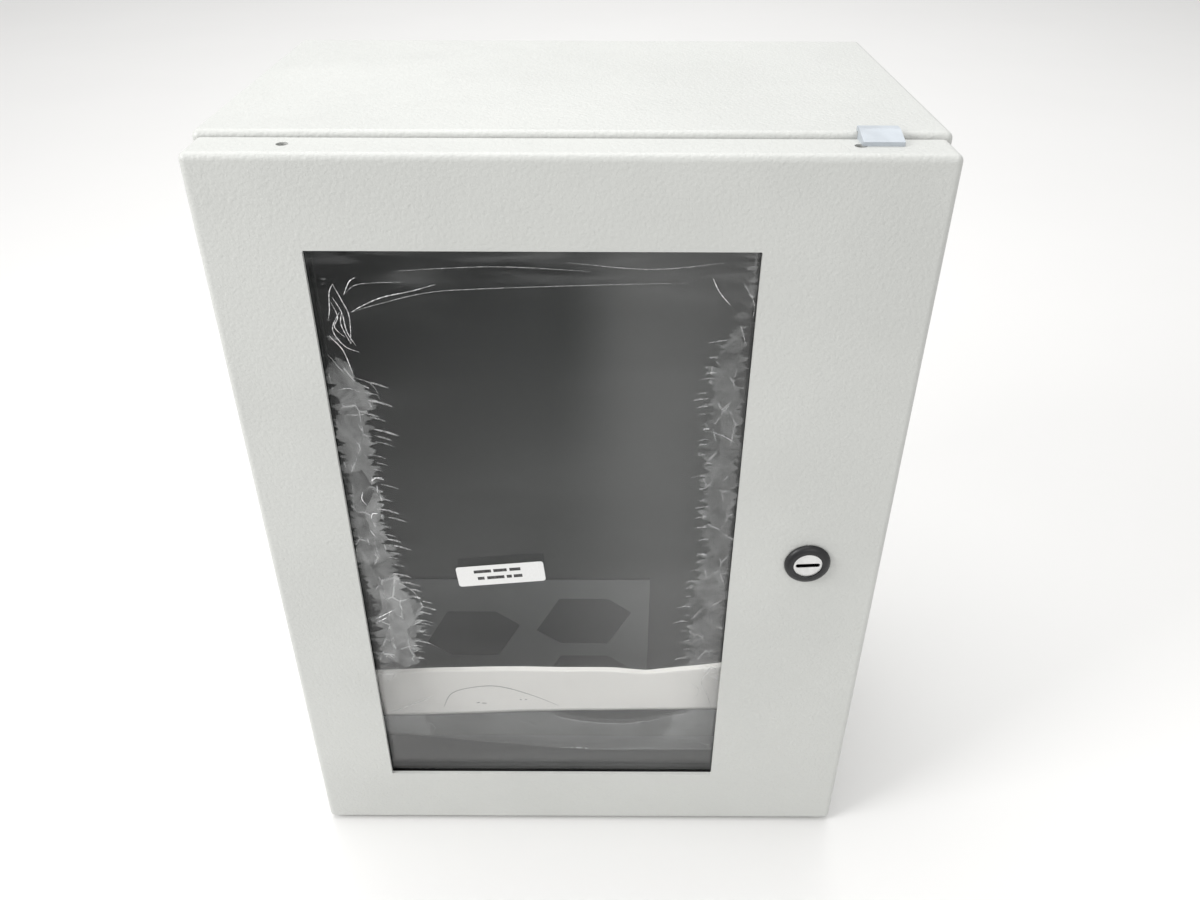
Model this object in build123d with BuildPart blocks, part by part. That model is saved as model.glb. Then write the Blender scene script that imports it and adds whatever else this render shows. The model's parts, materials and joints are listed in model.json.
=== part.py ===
from build123d import *
import math
import os

# Wall-mounted fire alarm control panel: a sheet steel cabinet with a hinged, windowed door.
# X runs to the right, Y from the door back to the wall, Z up from the underside. Millimetres.

# ---- Envelope ----
WIDTH = 309.2
HEIGHT = 410.8
DEPTH = 203.2
BODY_SHEET = 1.5
DOOR_SHEET = 1.9
DOOR_DEPTH = 21.5
DOOR_GAP = 1.8
DOOR_INSET = 2.2
BEND_RADIUS = 3.0
BEZEL_PROUD = 3.0

# ---- Clearances shared by several fits ----
RUNNING = 0.05
SCREW_PLAY = 0.1
PART_GAP = 0.4
CUT_OVER = 1.0

# ---- Collar round the cabinet's mouth, and the gasket that meets it ----
COLLAR_INSET = 24.7
COLLAR_SHEET = 1.5
GASKET_INSET = 20.5
GASKET_WIDTH = 5.5
GASKET_THICK = 9.8
GASKET_REST_GAP = 0.3

# ---- Window ----
WINDOW_LEFT = 42.4
WINDOW_RIGHT = 74.7
WINDOW_TOP = 39.6
WINDOW_BOTTOM = 41.0
WINDOW_CORNER = 0.8
SEAL_THICK = 1.0
SEAL_SETBACK = 1.0
PANE_OVERLAP = 10.0
PANE_THICK = 6.0
FILM_THICK = 0.3
LABEL_WIDTH = 44.5
LABEL_HEIGHT = 12.7
LABEL_THICK = 0.1
LABEL_TILT = 5.8
LABEL_FROM_LEFT = 71.7
LABEL_ABOVE_SILL = 151.9
RETAINER_SIDE = 15.4
RETAINER_END = 12.4
RETAINER_SETBACK = 2.0
RETAINER_THICK = 1.5
RETAINER_STUD_OUT = 12.2
RETAINER_STUD_RADIUS = 1.5
RETAINER_STUDS_A_SIDE = 4
RETAINER_STUD_END = 25.0
RETAINER_NUT_FLATS = 5.5
RETAINER_NUT_THICK = 2.4

# ---- Hinges ----
HINGE_IN = 6.5
HINGE_BACK = 7.0
HINGE_FROM_END = 70.2
KNUCKLE_RADIUS = 4.0
PIN_RADIUS = 2.0
PIN_HEAD_RADIUS = 3.0
PIN_HEAD_THICK = 1.5
CENTRE_KNUCKLE = 20.0
END_KNUCKLE = 10.0
KNUCKLE_GAP = 0.4
LEAF_THICK = 1.5
LEAF_EDGE = 20.0
ARM_START = 0.5
ARM_THICK = 3.0
FOOT_THICK = 1.5
NOTCH_MARGIN = 1.5
NOTCH_DEPTH_LEFT = 3.1
HINGE_SCREW_RADIUS = 1.4
HINGE_SCREW_HEAD = 2.5
HINGE_SCREW_HEAD_THICK = 1.4
HINGE_SCREW_IN = 15.0
HINGE_SCREW_PITCH = 11.0

# ---- Quarter-turn latch ----
LATCH_FROM_RIGHT = 37.3
BEZEL_RADIUS = 11.45
BEZEL_SEAL_THICK = 0.5
CORE_RADIUS = 7.1
CORE_PLAY = 0.15
CORE_SUNK = 0.8
CORE_HEAD_THICK = 3.4
BARREL_RADIUS = 8.0
STEM_RADIUS = 4.0
STEM_SQUARE = 6.0
SLOT_LENGTH = 12.0
SLOT_WIDTH = 2.2
SLOT_DEPTH = 1.6
SLOT_TILT = 3.0
LATCH_NUT_FLATS = 20.0
LATCH_NUT_THICK = 5.0
CAM_BEHIND_LIP = 1.2
CAM_THICK = 2.5
CAM_WIDTH = 12.0
CAM_REACH = 24.0
CAM_AXIAL_GAP = 0.3
WASHER_RADIUS = 6.0
WASHER_THICK = 1.0
CAM_SCREW_RADIUS = 2.0
CAM_SCREW_HEAD = 4.0
CAM_SCREW_HEAD_THICK = 2.6
CAM_SCREW_LENGTH = 9.0

# ---- Clip on the door's top flange ----
FLANGE_HOLE_RADIUS = 2.5
FLANGE_HOLE_IN = 38.0
FLANGE_HOLE_BACK = 12.6
CLIP_WIDTH = 16.6
CLIP_FROM_RIGHT = 20.7
CLIP_THICK = 1.7
CLIP_ON_DOOR = 9.5
CLIP_OVER_LIP = 2.7
CLIP_JAW = 7.0

# ---- Dress pan behind the window, and what it carries ----
PAN_SHEET = 1.2
PAN_FRONT_SETBACK = 1.0
PAN_DEPTH = 33.0
PAN_NOTCH_HALF = 34.0
PAN_SCREW_BACK = 18.5
PAN_SCREW_RADIUS = 1.5
PAN_SCREW_HEAD = 3.0
PAN_SCREW_HEAD_THICK = 1.6
PAN_SCREW_FROM_END = 62.0
COVER_WIDTH = 150.0
COVER_HEIGHT = 105.0
COVER_THICK = 1.2
COVER_FROM_LEFT = 18.0
COVER_ABOVE_FLOOR = 26.5
HEX_HEIGHT = 35.0
HEX_WIDTH = 55.0
HEX_SKEW = 7.0
HEX_PLACES = ((37.2, 31.5), (101.5, 41.3), (37.2, 76.1))
HEX_DEPTH = 0.5
FASCIA_WIDTH = 33.0
FASCIA_END_INSET = 28.8
FASCIA_THICK = 2.0
FASCIA_FROM_RIGHT = 3.0
BUTTON_RADIUS = 6.0
BUTTON_PROUD = 3.0
BUTTON_PITCH = 20.0
BUTTON_STEM = 2.5
BUTTON_PLAY = 0.3
BUTTON_FLANGE = 7.5
BUTTON_FLANGE_THICK = 1.0
BUTTON_TRAVEL = 1.2
BUTTON_STEM_LENGTH = 3.0
BUTTONS_ABOVE_END = 34.0
BUTTON_NAMES = ("test", "reset", "silence", "acknowledge")
SWITCH_SIZE = 6.0
SWITCH_THICK = 3.5
LENS_RADIUS = 2.5
LENS_PROUD = 1.0
LENS_COUNT = 6
DISPLAY_WIDTH = 24.0
DISPLAY_HEIGHT = 62.0
DISPLAY_THICK = 1.6
DISPLAY_FROM_TOP = 46.0
MODULE_THICK = 8.0
OPERATOR_BOARD_THICK = 1.6
OPERATOR_BOARD_SHRINK = 2.0
SOUNDER_RADIUS = 11.0
SOUNDER_THICK = 8.0
SOUNDER_FROM_TOP = 60.0

# ---- Sub-panel and the equipment on it ----
PANEL_SIDE_INSET = 35.4
PANEL_END_INSET = 35.2
PANEL_THICK = 2.0
PANEL_STANDOFF = 10.0
PANEL_STUD_INSET = 10.0
PANEL_STUD_RADIUS = 3.0
PANEL_STUD_SHOULDER = 5.0
PANEL_STUD_TAIL = 9.0
PANEL_NUT_FLATS = 10.0
PANEL_NUT_THICK = 5.0
SHELF_SHEET = 1.5
SHELF_FROM_BOTTOM = 6.0
SHELF_BACK_HEIGHT = 22.0
SHELF_LIP = 8.0
BATTERY_WIDTH = 90.0
BATTERY_DEPTH = 70.0
BATTERY_HEIGHT = 101.0
BATTERY_GAP = 4.0
BATTERY_CORNER = 3.0
TERMINAL_HEIGHT = 5.0
TERMINAL_WIDTH = 6.3
TERMINAL_THICK = 0.8
TERMINAL_INSET = 12.0
BAND_WIDTH = 20.0
BAND_THICK = 1.2
BAND_ABOVE_SHELF = 52.0
TRANSFORMER_WIDTH = 62.0
TRANSFORMER_HEIGHT = 50.0
TRANSFORMER_DEPTH = 34.0
COIL_SHRINK = 12.0
COIL_DEPTH = 52.0
TRANSFORMER_ABOVE_BATTERY = 12.0
FUSE_WIDTH = 12.0
FUSE_HEIGHT = 34.0
FUSE_DEPTH = 16.0
FUSE_COUNT = 3
FUSE_PITCH = 17.0
FUSE_FROM_RIGHT = 26.0
BOARD_INSET = 22.0
BOARD_THICK = 1.6
BOARD_STANDOFF = 8.0
BOARD_GAP = 9.0
BOARD_TOP_INSET = 12.0
BOARD_HOLE_INSET = 5.0
STANDOFF_RADIUS = 3.0
BOARD_SCREW_RADIUS = 1.25
BOARD_SCREW_HEAD = 2.4
BOARD_SCREW_HEAD_THICK = 1.6
TERMINAL_BLOCKS = 3
BLOCK_HEIGHT = 11.0
BLOCK_DEPTH = 13.0
BLOCK_FROM_EDGE = 12.0
BLOCK_GAP = 6.0
WIRE_HOLES_A_BLOCK = 8
WIRE_HOLE_SIZE = 3.0
WIRE_HOLE_DEEP = 7.0
RELAY_WIDTH = 16.0
RELAY_HEIGHT = 20.0
RELAY_DEPTH = 15.0
RELAY_COUNT = 4
RELAY_PITCH = 21.0
RELAY_UP = 40.0
CHIP_SIZE = 24.0
CHIP_THICK = 2.4
CAPACITOR_RADIUS = 6.0
CAPACITOR_DEPTH = 20.0
CAPACITOR_COUNT = 3

# ---- Entries in the floor of the cabinet ----
ENTRY_WIDTH = 150.0
ENTRY_DEPTH = 60.0
ENTRY_FROM_BACK = 55.0
ENTRY_MARGIN = 14.0
ENTRY_SEAL = 1.0
ENTRY_PLATE = 2.0
ENTRY_SCREW_RADIUS = 2.5
ENTRY_SCREW_HEAD = 4.5
ENTRY_SCREW_HEAD_THICK = 3.0
PLUG_RADIUS = 11.0
PLUG_HEAD = 13.5
PLUG_HEAD_THICK = 2.0
PLUG_COUNT = 3
PLUG_PITCH = 44.0

# ---- Wall fixing ----
WALL_HOLE_RADIUS = 4.0
WALL_HOLE_INSET = 27.6

# ---- Literature standing in the pan ----
BAG_WIDTH = 228.0
BAG_HEIGHT = 86.0
BAG_THICK = 2.4
BAG_FOOT_BACK = 29.0
BAG_LEAN = 9.0
BAG_FROM_LEFT = 5.0
BAG_WALL = 0.3
BAG_MOUTH_DEEP = 46.0
SHEET_WIDTH = 215.9
SHEET_HEIGHT = 41.0
SHEET_THICK = 1.2

# ---- Places worked out from the sizes above ----
FACE_Y = BEZEL_PROUD - (BEZEL_PROUD + DEPTH) / 2
LIP_FRONT = DOOR_DEPTH + DOOR_GAP
LIP_REAR = LIP_FRONT + BODY_SHEET
REAR = DEPTH
BACK_INNER = REAR - BODY_SHEET
OUTLINE = (-WIDTH / 2, WIDTH / 2, 0.0, HEIGHT)
LEFT = OUTLINE[0] + DOOR_INSET
RIGHT = OUTLINE[1] - DOOR_INSET
FOOT = OUTLINE[2] + DOOR_INSET
HEAD = OUTLINE[3] - DOOR_INSET
DOOR = (LEFT, RIGHT, FOOT, HEAD)
WINDOW = (LEFT + WINDOW_LEFT, RIGHT - WINDOW_RIGHT, FOOT + WINDOW_BOTTOM, HEAD - WINDOW_TOP)
COLLAR_FRONT = DOOR_SHEET + GASKET_THICK + GASKET_REST_GAP
MOUTH_INSET = COLLAR_INSET + COLLAR_SHEET
HINGE_X = LEFT + HINGE_IN
HINGE_LEVELS = (FOOT + HINGE_FROM_END, HEAD - HINGE_FROM_END)
LATCH_X = RIGHT - LATCH_FROM_RIGHT
LATCH_Z = HEIGHT / 2
CAM_FRONT = LIP_REAR + CAM_BEHIND_LIP
PAN_FRONT = COLLAR_FRONT + PAN_FRONT_SETBACK
PAN_REAR = PAN_FRONT + PAN_DEPTH
PAN_FACE = PAN_REAR - PAN_SHEET
PANEL_FACE = BACK_INNER - PANEL_STANDOFF - PANEL_THICK


def y_at(depth):
    """Y of a plane that lies the given depth behind the door's face."""
    return FACE_Y + depth


def facing(depth):
    """Plane at a depth behind the door's face: its X is X, its Y is Z and it faces forward."""
    return Plane(origin=(0, y_at(depth), 0), x_dir=(1, 0, 0), z_dir=(0, -1, 0))


def grown(rect, sides, ends=None):
    """Rectangle (x low, x high, z low, z high) made larger all round, or smaller if negative."""
    ends = sides if ends is None else ends
    return (rect[0] - sides, rect[1] + sides, rect[2] - ends, rect[3] + ends)


def around(x, z, width, height):
    """Rectangle of a given size centred on x and z."""
    return (x - width / 2, x + width / 2, z - height / 2, z + height / 2)


def plate(rect, front, rear, radius=0.0, mode=Mode.ADD):
    """Flat plate over a rectangle, between two depths, with rounded corners where asked."""
    with BuildSketch(facing(rear)) as outline:
        with Locations(((rect[0] + rect[1]) / 2, (rect[2] + rect[3]) / 2)):
            if radius > 0:
                RectangleRounded(rect[1] - rect[0], rect[3] - rect[2], radius)
            else:
                Rectangle(rect[1] - rect[0], rect[3] - rect[2])
    extrude(outline.sketch, amount=rear - front, mode=mode)


def rod(x, z, radius, front, rear, mode=Mode.ADD):
    """Round bar or hole that runs from front to rear."""
    with BuildSketch(facing(rear)) as outline:
        with Locations((x, z)):
            Circle(radius)
    extrude(outline.sketch, amount=rear - front, mode=mode)


def hexagon(x, z, flats, front, rear, mode=Mode.ADD):
    """Hexagonal bar that runs from front to rear, with its flats left and right."""
    with BuildSketch(facing(rear)) as outline:
        with Locations((x, z)):
            RegularPolygon(flats / 2, 6, major_radius=False, rotation=30)
    extrude(outline.sketch, amount=rear - front, mode=mode)


def post(x, y, radius, low, high, mode=Mode.ADD):
    """Upright round bar or hole."""
    with BuildSketch(Plane.XY.offset(low)) as outline:
        with Locations((x, y)):
            Circle(radius)
    extrude(outline.sketch, amount=high - low, mode=mode)


def bar(x_low, x_high, depth, z, radius, mode=Mode.ADD):
    """Round bar or hole that runs from left to right."""
    with BuildSketch(Plane.YZ.offset(x_low)) as outline:
        with Locations((y_at(depth), z)):
            Circle(radius)
    extrude(outline.sketch, amount=x_high - x_low, mode=mode)


def evenly(low, high, count):
    """Places of equal items spread over a span, half a step in from its ends."""
    step = (high - low) / count
    return [low + step * (index + 0.5) for index in range(count)]


def corners(rect, inset):
    """Four places inside a rectangle's corners."""
    inner = grown(rect, -inset)
    return [(x, z) for x in inner[:2] for z in inner[2:]]


def keep(name, piece):
    """Label a finished piece and write its file."""
    piece.part.label = name
    export_step(piece.part, f"parts/{name}.step")


os.makedirs("parts", exist_ok=True)

# ---- Places shared by more than one piece ----
PANEL = grown(OUTLINE, -PANEL_SIDE_INSET, -PANEL_END_INSET)
PANEL_STUDS = corners(PANEL, PANEL_STUD_INSET)
WALL_HOLES = corners(OUTLINE, WALL_HOLE_INSET)
MOUTH = grown(OUTLINE, -MOUTH_INSET)
PAN = grown(MOUTH, -PART_GAP)
PAN_SCREW_LEVELS = (PAN[2] + PAN_SCREW_FROM_END, PAN[3] - PAN_SCREW_FROM_END)
HINGE_SCREWS = [
    (LEFT + HINGE_SCREW_IN, level + side * HINGE_SCREW_PITCH / 2)
    for level in HINGE_LEVELS
    for side in (-1, 1)
]
ENTRY_Y = y_at(BACK_INNER - ENTRY_FROM_BACK - ENTRY_DEPTH / 2)
ENTRY_LOW = BODY_SHEET + ENTRY_SEAL
ENTRY_HIGH = ENTRY_LOW + ENTRY_PLATE
ENTRY_SCREWS = [
    (side_x * (ENTRY_WIDTH + ENTRY_MARGIN) / 2, ENTRY_Y + side_y * (ENTRY_DEPTH + ENTRY_MARGIN) / 2)
    for side_x in (-1, 1)
    for side_y in (-1, 1)
]
STUD_LEVELS = evenly(WINDOW[2] - RETAINER_STUD_END / 2, WINDOW[3] + RETAINER_STUD_END / 2,
                     RETAINER_STUDS_A_SIDE)
RETAINER_STUDS = [
    (x, level)
    for x in (WINDOW[0] - RETAINER_STUD_OUT, WINDOW[1] + RETAINER_STUD_OUT)
    for level in STUD_LEVELS
]

# ---- Cabinet body: folded box with a lip and a forward collar round its mouth ----
with BuildPart() as cabinet_cavity:
    plate(grown(OUTLINE, -BODY_SHEET), LIP_REAR, BACK_INNER)
    fillet(cabinet_cavity.edges(), BEND_RADIUS - BODY_SHEET)

with BuildPart() as cabinet_body:
    plate(OUTLINE, LIP_FRONT, REAR)
    fillet(cabinet_body.edges(), BEND_RADIUS)
    add(cabinet_cavity.part, mode=Mode.SUBTRACT)
    plate(grown(OUTLINE, -COLLAR_INSET), COLLAR_FRONT, LIP_REAR)
    plate(MOUTH, COLLAR_FRONT, LIP_REAR, mode=Mode.SUBTRACT)
    for x, z in WALL_HOLES:
        rod(x, z, WALL_HOLE_RADIUS, BACK_INNER - CUT_OVER, REAR + CUT_OVER, mode=Mode.SUBTRACT)
    for x, z in HINGE_SCREWS:
        rod(x, z, HINGE_SCREW_RADIUS + SCREW_PLAY, LIP_FRONT - CUT_OVER, LIP_REAR + CUT_OVER,
            mode=Mode.SUBTRACT)
    for level in PAN_SCREW_LEVELS:
        bar(PAN[0] - MOUTH_INSET / 2, PAN[0], PAN_SCREW_BACK, level, PAN_SCREW_RADIUS + SCREW_PLAY,
            mode=Mode.SUBTRACT)
        bar(PAN[1], PAN[1] + MOUTH_INSET / 2, PAN_SCREW_BACK, level, PAN_SCREW_RADIUS + SCREW_PLAY,
            mode=Mode.SUBTRACT)
    with BuildSketch(Plane.XY.offset(-CUT_OVER)):
        with Locations((0, ENTRY_Y)):
            Rectangle(ENTRY_WIDTH, ENTRY_DEPTH)
    extrude(amount=BODY_SHEET + 2 * CUT_OVER, mode=Mode.SUBTRACT)
    for x, y in ENTRY_SCREWS:
        post(x, y, ENTRY_SCREW_RADIUS + SCREW_PLAY, -CUT_OVER, BODY_SHEET + CUT_OVER, mode=Mode.SUBTRACT)
keep("cabinet_body", cabinet_body)

# ---- Entry plate over the opening in the cabinet's floor ----
PLUGS_X = [PLUG_PITCH * (index - (PLUG_COUNT - 1) / 2) for index in range(PLUG_COUNT)]

with BuildPart() as entry_seal:
    with BuildSketch(Plane.XY.offset(BODY_SHEET)):
        with Locations((0, ENTRY_Y)):
            Rectangle(ENTRY_WIDTH + 2 * ENTRY_MARGIN, ENTRY_DEPTH + 2 * ENTRY_MARGIN)
            Rectangle(ENTRY_WIDTH, ENTRY_DEPTH, mode=Mode.SUBTRACT)
    extrude(amount=ENTRY_SEAL)
    for x, y in ENTRY_SCREWS:
        post(x, y, ENTRY_SCREW_RADIUS + SCREW_PLAY, 0, ENTRY_LOW + CUT_OVER, mode=Mode.SUBTRACT)
keep("entry_seal", entry_seal)

with BuildPart() as entry_plate:
    with BuildSketch(Plane.XY.offset(ENTRY_LOW)):
        with Locations((0, ENTRY_Y)):
            Rectangle(ENTRY_WIDTH + 2 * ENTRY_MARGIN, ENTRY_DEPTH + 2 * ENTRY_MARGIN)
    extrude(amount=ENTRY_PLATE)
    for x, y in ENTRY_SCREWS:
        post(x, y, ENTRY_SCREW_RADIUS + SCREW_PLAY, 0, ENTRY_HIGH + CUT_OVER, mode=Mode.SUBTRACT)
    for x in PLUGS_X:
        post(x, ENTRY_Y, PLUG_RADIUS, 0, ENTRY_HIGH + CUT_OVER, mode=Mode.SUBTRACT)
keep("entry_plate", entry_plate)

with BuildPart() as entry_screws:
    for x, y in ENTRY_SCREWS:
        post(x, y, ENTRY_SCREW_RADIUS, SCREW_PLAY, ENTRY_HIGH)
        post(x, y, ENTRY_SCREW_HEAD, ENTRY_HIGH, ENTRY_HIGH + ENTRY_SCREW_HEAD_THICK)
keep("entry_screws", entry_screws)

with BuildPart() as entry_plugs:
    for x in PLUGS_X:
        post(x, ENTRY_Y, PLUG_RADIUS - RUNNING, ENTRY_LOW, ENTRY_HIGH)
        post(x, ENTRY_Y, PLUG_HEAD, ENTRY_HIGH, ENTRY_HIGH + PLUG_HEAD_THICK)
keep("entry_plugs", entry_plugs)

# ---- Hinges: a bracket on the lip, a leaf on the door and a pin through both ----
HALF_CENTRE = CENTRE_KNUCKLE / 2
HALF_HINGE = HALF_CENTRE + KNUCKLE_GAP + END_KNUCKLE
PIN_BORE = PIN_RADIUS + RUNNING

with BuildPart() as hinge_brackets:
    for level in HINGE_LEVELS:
        low = level - HALF_CENTRE
        high = level + HALF_CENTRE
        arm = (HINGE_X + ARM_START, HINGE_X + ARM_START + ARM_THICK, low, high)
        foot = (HINGE_X + ARM_START, LEFT + LEAF_EDGE, low, high)
        post(HINGE_X, y_at(HINGE_BACK), KNUCKLE_RADIUS, low, high)
        plate(arm, HINGE_BACK, LIP_FRONT)
        plate(foot, LIP_FRONT - FOOT_THICK, LIP_FRONT)
        post(HINGE_X, y_at(HINGE_BACK), PIN_BORE, low - CUT_OVER, high + CUT_OVER, mode=Mode.SUBTRACT)
    for x, z in HINGE_SCREWS:
        rod(x, z, HINGE_SCREW_RADIUS + SCREW_PLAY, LIP_FRONT - FOOT_THICK - CUT_OVER, LIP_REAR,
            mode=Mode.SUBTRACT)
keep("hinge_brackets", hinge_brackets)

with BuildPart() as hinge_bracket_screws:
    for x, z in HINGE_SCREWS:
        head_rear = LIP_FRONT - FOOT_THICK
        rod(x, z, HINGE_SCREW_HEAD, head_rear - HINGE_SCREW_HEAD_THICK, head_rear)
        rod(x, z, HINGE_SCREW_RADIUS, head_rear, LIP_REAR + CUT_OVER)
keep("hinge_bracket_screws", hinge_bracket_screws)

with BuildPart() as hinge_leaves:
    for level in HINGE_LEVELS:
        low = level - HALF_HINGE
        high = level + HALF_HINGE
        leaf = (HINGE_X, LEFT + LEAF_EDGE, low, high)
        relief = (HINGE_X - KNUCKLE_RADIUS, HINGE_X + KNUCKLE_RADIUS + PART_GAP,
                  level - HALF_CENTRE - KNUCKLE_GAP, level + HALF_CENTRE + KNUCKLE_GAP)
        plate(leaf, DOOR_SHEET, DOOR_SHEET + LEAF_THICK)
        post(HINGE_X, y_at(HINGE_BACK), KNUCKLE_RADIUS, low, high)
        plate(relief, DOOR_SHEET - CUT_OVER, HINGE_BACK + KNUCKLE_RADIUS + CUT_OVER, mode=Mode.SUBTRACT)
        post(HINGE_X, y_at(HINGE_BACK), PIN_BORE, low - CUT_OVER, high + CUT_OVER, mode=Mode.SUBTRACT)
keep("hinge_leaves", hinge_leaves)

with BuildPart() as hinge_pins:
    for level in HINGE_LEVELS:
        head = level + HALF_HINGE + PART_GAP
        post(HINGE_X, y_at(HINGE_BACK), PIN_RADIUS, level - HALF_HINGE, head)
        post(HINGE_X, y_at(HINGE_BACK), PIN_HEAD_RADIUS, head, head + PIN_HEAD_THICK)
keep("hinge_pins", hinge_pins)

# ---- Door: shallow folded tray with a window, a latch hole and relief for the hinge arms ----
with BuildPart() as door_cavity:
    plate(grown(DOOR, -DOOR_SHEET), DOOR_SHEET, DOOR_DEPTH + CUT_OVER)
    cavity_rear = door_cavity.edges().group_by(Axis.Y)[-1]
    fillet([edge for edge in door_cavity.edges() if edge not in cavity_rear], BEND_RADIUS - DOOR_SHEET)

with BuildPart() as door_panel:
    plate(DOOR, 0, DOOR_DEPTH)
    door_rear = door_panel.edges().group_by(Axis.Y)[-1]
    fillet([edge for edge in door_panel.edges() if edge not in door_rear], BEND_RADIUS)
    add(door_cavity.part, mode=Mode.SUBTRACT)
    plate(WINDOW, -CUT_OVER, DOOR_SHEET + CUT_OVER, WINDOW_CORNER, mode=Mode.SUBTRACT)
    rod(LATCH_X, LATCH_Z, BARREL_RADIUS + SCREW_PLAY, -CUT_OVER, DOOR_SHEET + CUT_OVER, mode=Mode.SUBTRACT)
    for level in HINGE_LEVELS:
        notch = (LEFT - CUT_OVER, LEFT + DOOR_SHEET + CUT_OVER,
                 level - HALF_CENTRE - NOTCH_MARGIN, level + HALF_CENTRE + NOTCH_MARGIN)
        plate(notch, NOTCH_DEPTH_LEFT, DOOR_DEPTH + CUT_OVER, mode=Mode.SUBTRACT)
    for x in (LEFT + FLANGE_HOLE_IN, RIGHT - FLANGE_HOLE_IN):
        for z in (FOOT, HEAD):
            post(x, y_at(FLANGE_HOLE_BACK), FLANGE_HOLE_RADIUS, z - 2 * DOOR_SHEET, z + 2 * DOOR_SHEET,
                 mode=Mode.SUBTRACT)
keep("door_panel", door_panel)

with BuildPart() as door_gasket:
    plate(grown(DOOR, -GASKET_INSET), DOOR_SHEET, DOOR_SHEET + GASKET_THICK)
    plate(grown(DOOR, -GASKET_INSET - GASKET_WIDTH), DOOR_SHEET, DOOR_SHEET + GASKET_THICK,
          mode=Mode.SUBTRACT)
keep("door_gasket", door_gasket)

# ---- Window: seal, pane, film, label and the frame that clamps them ----
PANE_FRONT = DOOR_SHEET + SEAL_THICK
PANE_REAR = PANE_FRONT + PANE_THICK
RETAINER_REAR = PANE_REAR + RETAINER_THICK
PANE = grown(WINDOW, PANE_OVERLAP)
FILM = grown(WINDOW, SEAL_SETBACK - PART_GAP)

with BuildPart() as window_seal:
    plate(PANE, DOOR_SHEET, PANE_FRONT)
    plate(grown(WINDOW, SEAL_SETBACK), DOOR_SHEET, PANE_FRONT, mode=Mode.SUBTRACT)
keep("window_seal", window_seal)

with BuildPart() as window_pane:
    plate(PANE, PANE_FRONT, PANE_REAR)
keep("window_pane", window_pane)

with BuildPart() as protective_film:
    plate(FILM, PANE_FRONT - FILM_THICK, PANE_FRONT)
keep("protective_film", protective_film)

with BuildPart() as window_label:
    with BuildSketch(facing(PANE_FRONT - FILM_THICK)):
        with Locations((WINDOW[0] + LABEL_FROM_LEFT, WINDOW[2] + LABEL_ABOVE_SILL)):
            Rectangle(LABEL_WIDTH, LABEL_HEIGHT, rotation=LABEL_TILT)
    extrude(amount=LABEL_THICK)
keep("window_label", window_label)

with BuildPart() as window_retainer:
    plate(grown(WINDOW, RETAINER_SIDE, RETAINER_END), PANE_REAR, RETAINER_REAR)
    plate(grown(WINDOW, RETAINER_SETBACK), PANE_REAR, RETAINER_REAR, mode=Mode.SUBTRACT)
    for x, z in RETAINER_STUDS:
        rod(x, z, RETAINER_STUD_RADIUS + SCREW_PLAY, PANE_REAR, RETAINER_REAR, mode=Mode.SUBTRACT)
keep("window_retainer", window_retainer)

with BuildPart() as retainer_studs:
    for x, z in RETAINER_STUDS:
        rod(x, z, RETAINER_STUD_RADIUS, DOOR_SHEET, RETAINER_REAR + RETAINER_NUT_THICK + PART_GAP)
keep("retainer_studs", retainer_studs)

with BuildPart() as retainer_nuts:
    for x, z in RETAINER_STUDS:
        hexagon(x, z, RETAINER_NUT_FLATS, RETAINER_REAR, RETAINER_REAR + RETAINER_NUT_THICK)
        rod(x, z, RETAINER_STUD_RADIUS + RUNNING, RETAINER_REAR, RETAINER_REAR + RETAINER_NUT_THICK,
            mode=Mode.SUBTRACT)
keep("retainer_nuts", retainer_nuts)

# ---- Clip that grips the rear edge of the door's top flange ----
CLIP_X = (RIGHT - CLIP_FROM_RIGHT - CLIP_WIDTH, RIGHT - CLIP_FROM_RIGHT)
CLIP_FRONT = DOOR_DEPTH - CLIP_ON_DOOR
CLIP_REAR = LIP_FRONT + CLIP_OVER_LIP
CLIP_WEB = (DOOR_DEPTH + PART_GAP / 2, LIP_FRONT - PART_GAP)
CLIP_JAW_HIGH = HEAD - DOOR_SHEET - SCREW_PLAY
CLIP_OVER_RIM = OUTLINE[3] + PART_GAP

with BuildPart() as door_clip:
    with BuildSketch(Plane.YZ.offset(CLIP_X[0])):
        with BuildLine():
            Polyline(
                (y_at(CLIP_FRONT), HEAD),
                (y_at(CLIP_WEB[0]), HEAD),
                (y_at(CLIP_WEB[0]), CLIP_JAW_HIGH),
                (y_at(DOOR_DEPTH - CLIP_JAW), CLIP_JAW_HIGH),
                (y_at(DOOR_DEPTH - CLIP_JAW), CLIP_JAW_HIGH - CLIP_THICK),
                (y_at(CLIP_WEB[1]), CLIP_JAW_HIGH - CLIP_THICK),
                (y_at(CLIP_WEB[1]), CLIP_OVER_RIM),
                (y_at(CLIP_REAR), CLIP_OVER_RIM),
                (y_at(CLIP_REAR), CLIP_OVER_RIM + CLIP_THICK),
                (y_at(CLIP_WEB[0]), CLIP_OVER_RIM + CLIP_THICK),
                (y_at(CLIP_FRONT), HEAD + CLIP_THICK),
                close=True,
            )
        make_face()
    extrude(amount=CLIP_WIDTH)
keep("door_clip", door_clip)

# ---- Quarter-turn latch ----
HEAD_FRONT = CORE_SUNK - BEZEL_PROUD
HEAD_REAR = HEAD_FRONT + CORE_HEAD_THICK
BARREL_REAR = CAM_FRONT - CAM_AXIAL_GAP
CAM_REAR = CAM_FRONT + CAM_THICK
CROWN = BEZEL_PROUD - BEZEL_SEAL_THICK

with BuildPart() as latch_seal:
    rod(LATCH_X, LATCH_Z, BEZEL_RADIUS - PART_GAP, -BEZEL_SEAL_THICK, 0)
    rod(LATCH_X, LATCH_Z, BARREL_RADIUS + SCREW_PLAY, -BEZEL_SEAL_THICK, 0, mode=Mode.SUBTRACT)
keep("latch_seal", latch_seal)

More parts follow.
